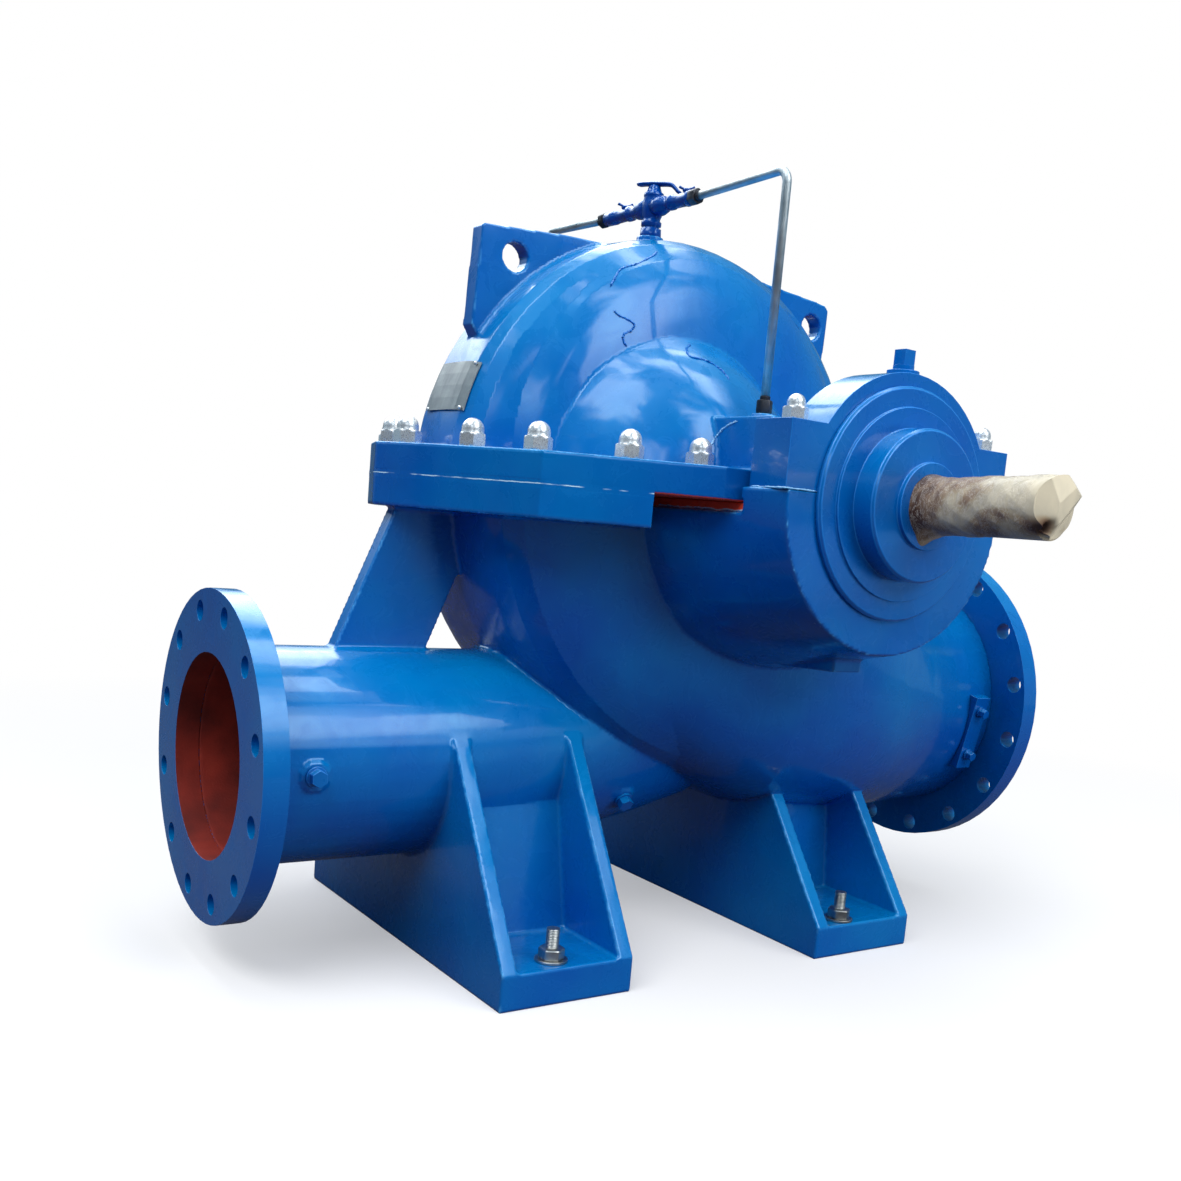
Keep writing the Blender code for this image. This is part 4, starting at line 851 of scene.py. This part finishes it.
def vent_lever_grid():
    """The handle's flat strip, swept along LEVER_LINE and widest over the stem."""
    line = smooth_path(LEVER_LINE, 6)
    path = np.column_stack([VENT_AXIS[0] + line[:, 0] * math.cos(LEVER_TURN),
                            VENT_AXIS[1] + line[:, 0] * math.sin(LEVER_TURN), line[:, 1]])
    width = np.interp(line[:, 0], [-0.025, -0.021, -0.008, 0.0, 0.008, 0.03, 0.0385],
                      [0.45, 0.85, 0.95, 1.25, 1.0, 0.75, 0.55])
    return swept_grid(path, ring(1.0, 16) * LEVER_SECTION, np.sqrt(width))


cross = [laid(turned_grid(NIPPLE_PROFILE), ARM_LINE), laid(turned_grid(DRIVE_ARM), ARM_LINE, (0, -1, 0)),
         laid(turned_grid(FAR_ARM), ARM_LINE, (0, 1, 0)), *cock_wings(-0.076, -40), *cock_wings(0.068, -30)]
surface_piece("vent_fitting", [lumps(grid, 0.0005, 3) for grid in cross], VENT_ENAMEL,
              replaced="vent_cross")
surface_piece("vent_handle", [lumps(vent_lever_grid(), 0.0003, 4)], VENT_ENAMEL, "vent_lever",
              replaced="vent_lever")


# Domed cap nuts of plated steel hold the split flange and the bearing ledges. Each is one closed
# surface: a hexagon with its corners turned off, a small step, then a dome.
def plain_metal(name, pale, dark, roughness, grain_scale, grain_stretch=(1.0, 1.0, 1.0), metallic=1.0):
    """Bare or plated steel that varies between two greys, with a fine grain in its gloss."""
    material, tree, shader = new_material(name)
    place = object_place(tree)
    drawn = add_node(tree, "Mapping", {"Vector": place, "Scale": grain_stretch})
    grain = noise(tree, drawn.outputs[0], grain_scale, 2.0)
    mottle = spread(tree, noise(tree, place, 30.0, 4.0), 0.35, 0.65)
    fill(tree, shader, {"Base Color": blend(tree, mottle, dark, pale),
                        "Roughness": spread(tree, grain, 0.2, 0.8, roughness * 0.7, roughness * 1.3),
                        "Metallic": metallic, "Normal": bump(tree, 0.3, 0.0002, grain)})
    return material


PLATED_STEEL = plain_metal("plated_steel", (0.93, 0.92, 0.9), (0.78, 0.77, 0.75), 0.3, 600.0,
                           metallic=0.75)
FLANGE_NUT = (0.03, 0.0165, 0.0138)
LEDGE_NUT = (0.0265, 0.015, 0.0108)
FLANGE_TOP = 0.6545
LEDGE_TOP = 0.7136
NUT_SPOTS = ((-0.472, 0.0205), (-0.431, 0.1154), (-0.389, 0.2007), (-0.3035, 0.2663), (-0.211, 0.283),
             (0.389, 0.0205), (0.354, 0.1154), (0.317, 0.2007), (0.265, 0.2663), (0.206, 0.283))
LEDGE_SPOT = (0.165, 0.393)


def cap_nut_grid(flats, hex_height, dome_radius, columns=48):
    """Points of a cap nut standing at the origin: radius as a function of turn and height. The hexagon's
    radius at turn t is flats/2 over the cosine of t folded into 30 degrees either way, held under a
    steep cone at both ends; the dome is a quarter circle on a short neck."""
    folded = (full_turn(columns) + math.pi / 6) % (math.pi / 3) - math.pi / 6
    rise = np.array([0.0, 0.0012, 0.003, hex_height - 0.003, hex_height - 0.0012, hex_height])
    allowed = flats / 2 * 1.02 + np.minimum(rise, hex_height - rise) * 1.6
    body = np.minimum(flats / 2 / np.cos(folded)[None, :], allowed[:, None])
    neck = np.array([[dome_radius * 1.03, hex_height], [dome_radius, hex_height + 0.001],
                     [dome_radius, hex_height + 0.0045]])
    lift = np.radians(np.linspace(12, 86, 8))
    dome = np.stack([dome_radius * np.cos(lift), neck[-1, 1] + dome_radius * np.sin(lift)], axis=1)
    round_part = np.concatenate([neck, dome])
    radius = np.concatenate([body, np.repeat(round_part[:, :1], columns, axis=1)])
    return round_grid(radius, np.concatenate([rise, round_part[:, 1]]))


def cap_nut(name, place, degrees, sizes):
    """A cap nut at a place on a flange or ledge, turned by some degrees about the upright; sizes are
    the width over its flats, the hexagon's height and the dome's radius."""
    c, s = math.cos(math.radians(degrees)), math.sin(math.radians(degrees))
    grid = cap_nut_grid(*sizes) @ np.array(((c, s, 0), (-s, c, 0), (0, 0, 1))) + place
    surface_piece(name, [grid], PLATED_STEEL, sharp=28)


rng = np.random.default_rng(11)
for number, (x, y) in enumerate(NUT_SPOTS):
    for side in (-1, 1):
        spot = CENTRE + (x, side * y, FLANGE_TOP)
        cap_nut(f"flange_nut_{2 * number + (side > 0) + 1}", spot, rng.uniform(0, 60), FLANGE_NUT)
for number, (sx, sy) in enumerate(((-1, -1), (1, -1), (-1, 1), (1, 1)), 1):
    spot = CENTRE + (sx * LEDGE_SPOT[0], sy * LEDGE_SPOT[1], LEDGE_TOP)
    cap_nut(f"ledge_nut_{number}", spot, rng.uniform(0, 60), LEDGE_NUT)


# Flush tubes are bare drawn steel pipe, bent by hand,
# their compression nuts blackened.
TUBE_STEEL = plain_metal("tube_steel", (0.8, 0.82, 0.8), (0.55, 0.57, 0.56), 0.5, 240.0)
BLACK_STEEL = plain_metal("black_steel", (0.1, 0.1, 0.11), (0.03, 0.03, 0.035), 0.42, 300.0,
                          metallic=0.8)
TUBE_RADIUS = 0.0057
TUBE_TURN = 0.017
TUBE_SAG = 0.0045
TUBE_REACH = 0.278
TUBE_FOOT = 0.73
HEX_NUT = ((0.0, 0.86), (0.03, 0.95), (0.12, 1.0), (0.88, 1.0), (0.97, 0.95), (1.0, 0.86))


def flush_tube(end, start, side):
    """A bent tube: along the arm from start, a quarter turn, then down to its nut on the housing. The
    arm's own line dips by TUBE_SAG at the vent."""
    corner = VENT_AXIS[1] + side * TUBE_REACH
    top = ARM_HEIGHT + TUBE_SAG
    lift = np.linspace(0, math.pi / 2, 12)
    bend = np.stack([corner - side * TUBE_TURN * (1 - np.sin(lift)), top - TUBE_TURN * (1 - np.cos(lift))],
                    axis=1)
    line = np.concatenate([[(start, ARM_HEIGHT)], bend, [(corner, TUBE_FOOT + 0.004)]])
    path = np.column_stack([np.full(len(line), VENT_AXIS[0]), line])
    grid = swept_grid(path, ring(TUBE_RADIUS, 24), up=(1.0, 0.0, 0.0))
    surface_piece(f"bent_tube_{end}", [grid], TUBE_STEEL, replaced=f"flush_tube_{end}")


def hexagon_nut(length, radius):
    """A plain nut with turned-off corners, standing at the origin."""
    return turned_grid([(h * length, r * radius) for h, r in HEX_NUT], 36, sides=6)


def tube_nut(name, place, axis, length, radius, replaced):
    """A compression nut, its round collar at the far end."""
    collar = turned_grid([(length, radius * 0.72), (length + 0.0042, radius * 0.72),
                          (length + 0.005, radius * 0.62)])
    surface_piece(name, [laid(hexagon_nut(length, radius), place, axis), laid(collar, place, axis)],
                  BLACK_STEEL, sharp=25, replaced=replaced)


for end, side, start in (("drive", -1, 0.0135), ("far", 1, 0.213)):
    flush_tube(end, start, side)
    tube_nut(f"arm_nut_{end}", (VENT_AXIS[0], start, ARM_HEIGHT), (0, side, 0), 0.014, 0.0098,
             f"vent_nut_{end}")
    foot = (VENT_AXIS[0], VENT_AXIS[1] + side * TUBE_REACH, TUBE_FOOT)
    tube_nut(f"foot_nut_{end}", foot, (0, 0, 1), 0.0165, 0.0092, f"neck_nut_{end}")


# Hold-down studs stand in the feet, each with a washer and a nut,
# their upper ends left long.
GALVANISED = plain_metal("galvanised_steel", (0.58, 0.57, 0.54), (0.34, 0.33, 0.31), 0.42, 220.0)
STUD_SPOTS = ((-0.277, -0.1594), (-0.277, 0.3634), (0.2073, -0.1653), (0.2073, 0.3693))
STUD_SEAT = 0.0455
STUD_RADIUS = 0.0084
STUD_PITCH = 0.002
WASHER_PROFILE = ((0.0, 0.0202), (0.0004, 0.0206), (0.0026, 0.0206), (0.003, 0.0202))


def threaded_grid(radius, low, high, columns=24, per_turn=8):
    """Points of a threaded stud: its radius falls by a twelfth along a helix of pitch STUD_PITCH."""
    rise = np.arange(low, high, STUD_PITCH / per_turn)
    phase = (rise[:, None] / STUD_PITCH - full_turn(columns)[None, :] / (2 * math.pi)) % 1.0
    cut = radius * (1 - 0.085 * np.abs(phase - 0.5) * 2)
    cut[[0, -1]] = radius * 0.85
    return round_grid(cut, rise)


for number, (x, y) in enumerate(STUD_SPOTS, 1):
    stack = (turned_grid(WASHER_PROFILE, 40), hexagon_nut(0.0135, 0.0148) + (0, 0, 0.003),
             threaded_grid(STUD_RADIUS, 0.0155, 0.041))
    surface_piece(f"hold_down_stud_{number}", [laid(grid, (x, y, STUD_SEAT)) for grid in stack],
                  GALVANISED, sharp=25, replaced=f"hold_down_bolt_{number}")


# The nameplate is a bare brushed sheet, bent to the crown
# and held by four small rivets.
RIVET_SPOTS = ((-0.3275, 0.05, 0.7625), (-0.3455, 0.05, 0.7055), (-0.324, 0.134, 0.7622),
               (-0.347, 0.134, 0.7052))
RIVET_PROFILE = ((-0.002, 0.0022), (0.0002, 0.0022), (0.001, 0.0017), (0.0014, 0.0006))
CROWN_LINE = (CENTRE[0] - 0.077, 0.6216)


dress(nodes["nameplate"], plain_metal("brushed_plate", (0.4, 0.41, 0.4), (0.28, 0.29, 0.29), 0.5,
                                      40.0, (1.0, 30.0, 1.0)))
for number, spot in enumerate(RIVET_SPOTS, 1):
    out = (spot[0] - CROWN_LINE[0], 0.0, spot[2] - CROWN_LINE[1])
    surface_piece(f"plate_rivet_{number}", [laid(turned_grid(RIVET_PROFILE, 16), spot, out)],
                  PLATED_STEEL)


# The shaft end is wrapped for transport: brown paper, oily and darker at the cover and clean at the tip,
# wound round the shaft under clear film, with its last stretch crushed shut over the end. The hollow of
# the open fold there is painted dark as shade.
WRAP_START_Y = -0.3635
WRAP_END_Y = -0.5612
WRAP_RADIUS = 0.0337
WRAP_LIFT = 0.0065
SHAFT_LINE = 0.6306
SHAFT_TIP_Y = -0.5335
SHAFT_CLEAR = 0.0308
END_SET_BACK = 0.0095
END_DEEPEST = 0.0265


def fold(phase):
    """A folded line: 1 at whole numbers of phase and 0 half way between, straight in between."""
    return np.abs((phase % 1.0) - 0.5) * 2


def end_depth(x, z):
    """How far the crushed end reaches along the shaft at (x, z) from its middle: the nearest to the
    pump of five flat folds, dented where the paper has come open at the lower left, and stopped just
    short of the steel shaft's end."""
    lower_right = (x - z) / math.sqrt(2)
    folds = [np.zeros_like(x), 0.95 * (lower_right - 0.006), 0.9 * (-x - 0.014) + 0.12 * z,
             0.55 * (x - 0.018) + 0.75 * (z - 0.016), 0.3 * (z - 0.01) - 0.22 * (x + 0.004)]
    dent = np.exp(-(((x + 0.0185) / 0.0048) ** 2 + ((z + 0.025) / 0.007) ** 2))
    return WRAP_END_Y + np.minimum(END_SET_BACK + np.max(folds, axis=0) + 0.018 * dent, END_DEEPEST)


def wrap_grid(columns=180, rows=120, cap_rows=40):
    """Points of the crumpled paper tube as a function of the way along it and the turn round it.

    The radius is the shaft's plus folded lines that run slantwise. At the cover the paper flares, with
    one corner hanging. Each line of the tube ends where it meets the folds of end_depth, and the end
    then closes over them toward the middle. The whole tube leans up a little toward its tip, but no
    line of it comes within SHAFT_CLEAR of the shaft's axis as far as the steel reaches.
    """
    along, turn = np.meshgrid(np.linspace(0, 1, rows), np.linspace(0, 1, columns, endpoint=False),
                              indexing="ij")
    wound = 0.0007 * fold(5 * turn + 3.2 * along) + 0.0006 * fold(9 * turn - 5.5 * along + 0.3)
    wound += 0.0005 * fold(3 * turn + 11 * along + 0.2 * np.sin(2 * math.pi * turn))
    wound += 0.0011 * np.sin(2 * math.pi * (2 * turn + 0.3)) * np.sin(7 * along) ** 2
    flare = np.clip(1 - along / 0.15, 0, 1) ** 1.6
    corner = np.exp(-((turn - 0.715) / 0.045) ** 2)
    radius = WRAP_RADIUS + wound + flare * (0.004 + 0.0095 * corner)
    angle = 2 * math.pi * turn
    ends = end_depth(radius[-1] * np.cos(angle[-1]), radius[-1] * np.sin(angle[-1]))
    depth = WRAP_START_Y + along * (ends[None, :] - WRAP_START_Y)
    close = np.linspace(0, 1, cap_rows + 1)[1:, None]
    cap_radius = radius[-1][None, :] * (1 - close) + 0.0002
    cap_angle = np.repeat(angle[-1][None, :], cap_rows, axis=0)
    cap_depth = end_depth(cap_radius * np.cos(cap_angle), cap_radius * np.sin(cap_angle))
    radius = np.concatenate([radius, cap_radius])
    depth = np.concatenate([depth, cap_depth])
    angle = np.concatenate([angle, cap_angle])
    lift = np.clip((WRAP_START_Y - depth) / 0.18, 0, 1) * WRAP_LIFT
    side, rise = radius * np.cos(angle), radius * np.sin(angle) + lift
    tight = np.where(depth > SHAFT_TIP_Y, np.maximum(1.0, SHAFT_CLEAR / np.hypot(side, rise)), 1.0)
    return np.stack([CENTRE[0] + side * tight, depth, SHAFT_LINE + rise * tight], axis=-1)


def oil_and_shade_of(points):
    """How dark the paper is made at each point: most in the open fold, as painted shade in its hollow, and
    a little by the cover, where the paper is oily.
    """
    x, y, z = (points - (CENTRE[0], WRAP_END_Y, SHAFT_LINE + WRAP_LIFT)).reshape(-1, 3).T
    opening = ((x + 0.021) / 0.01) ** 2 + ((z + 0.026) / 0.012) ** 2 + ((y - 0.02) / 0.03) ** 2
    return np.clip(np.exp(-opening) + 0.16 * np.exp(-((y - 0.195) / 0.016) ** 2), 0, 1)


def paper_material():
    """Tan paper under clear film: oily and darker toward the cover, painted dark as shade in the open fold
    at the end, pale at the tip, with fine creases that catch the light in the film."""
    material, tree, shader = new_material("wrapping_paper")
    place = object_place(tree)
    along = parts(tree, place)[1]
    oil_and_shade = add_node(tree, "Attribute", attribute_name="oil_and_hollow_shade").outputs["Fac"]
    tone = plus(tree, noise(tree, place, 17.0, 4.0, Distortion=1.2),
                plus(tree, spread(tree, along, -0.47, -0.545, 0.0, 0.34), -0.06))
    # darker where the paper is oily by the cover, and in the open fold as painted shade
    tone = plus(tree, tone, times(tree, oil_and_shade, -0.62))
    color = ramp(tree, tone, [(0.2, (0.05, 0.02, 0.01)), (0.38, (0.22, 0.145, 0.09)),
                              (0.5, (0.36, 0.29, 0.195)), (0.62, (0.5, 0.45, 0.34)),
                              (0.84, (0.64, 0.57, 0.42))])
    slant = add_node(tree, "Mapping",
                     {"Vector": place, "Rotation": (0.3, 0.7, 0.2), "Scale": (1.0, 1.9, 1.0)})
    film = noise(tree, slant.outputs[0], 62.0, 5.0, Roughness=0.6, Distortion=2.2)
    wrinkle = spread(tree, size_of(tree, plus(tree, film, -0.5)), 0.0, 0.035, 1.0, 0.0)
    covered = spread(tree, along, -0.535, -0.515)
    glint = times(tree, times(tree, wrinkle, covered), 0.4)
    relief = times(tree, plus(tree, film, times(tree, wrinkle, 0.25)), covered)
    fill(tree, shader, {"Base Color": blend(tree, glint, color, (0.78, 0.74, 0.68)),
                        "Roughness": 0.5, "Normal": bump(tree, 0.8, 0.001, relief),
                        "Coat Weight": times(tree, covered, 0.12), "Coat Roughness": 0.16})
    return material


wrap_points = wrap_grid()
paper_wrap = surface_piece("paper_wrap", [wrap_points], paper_material(), "rotor", 24, "shaft_wrap")
paper_wrap.data.attributes.new("oil_and_hollow_shade", "FLOAT", "POINT").data.foreach_set("value", oil_and_shade_of(wrap_points))
dress(nodes["rotor_shaft"],
      plain_metal("turned_steel", (0.62, 0.61, 0.59), (0.45, 0.44, 0.42), 0.3, 300.0))
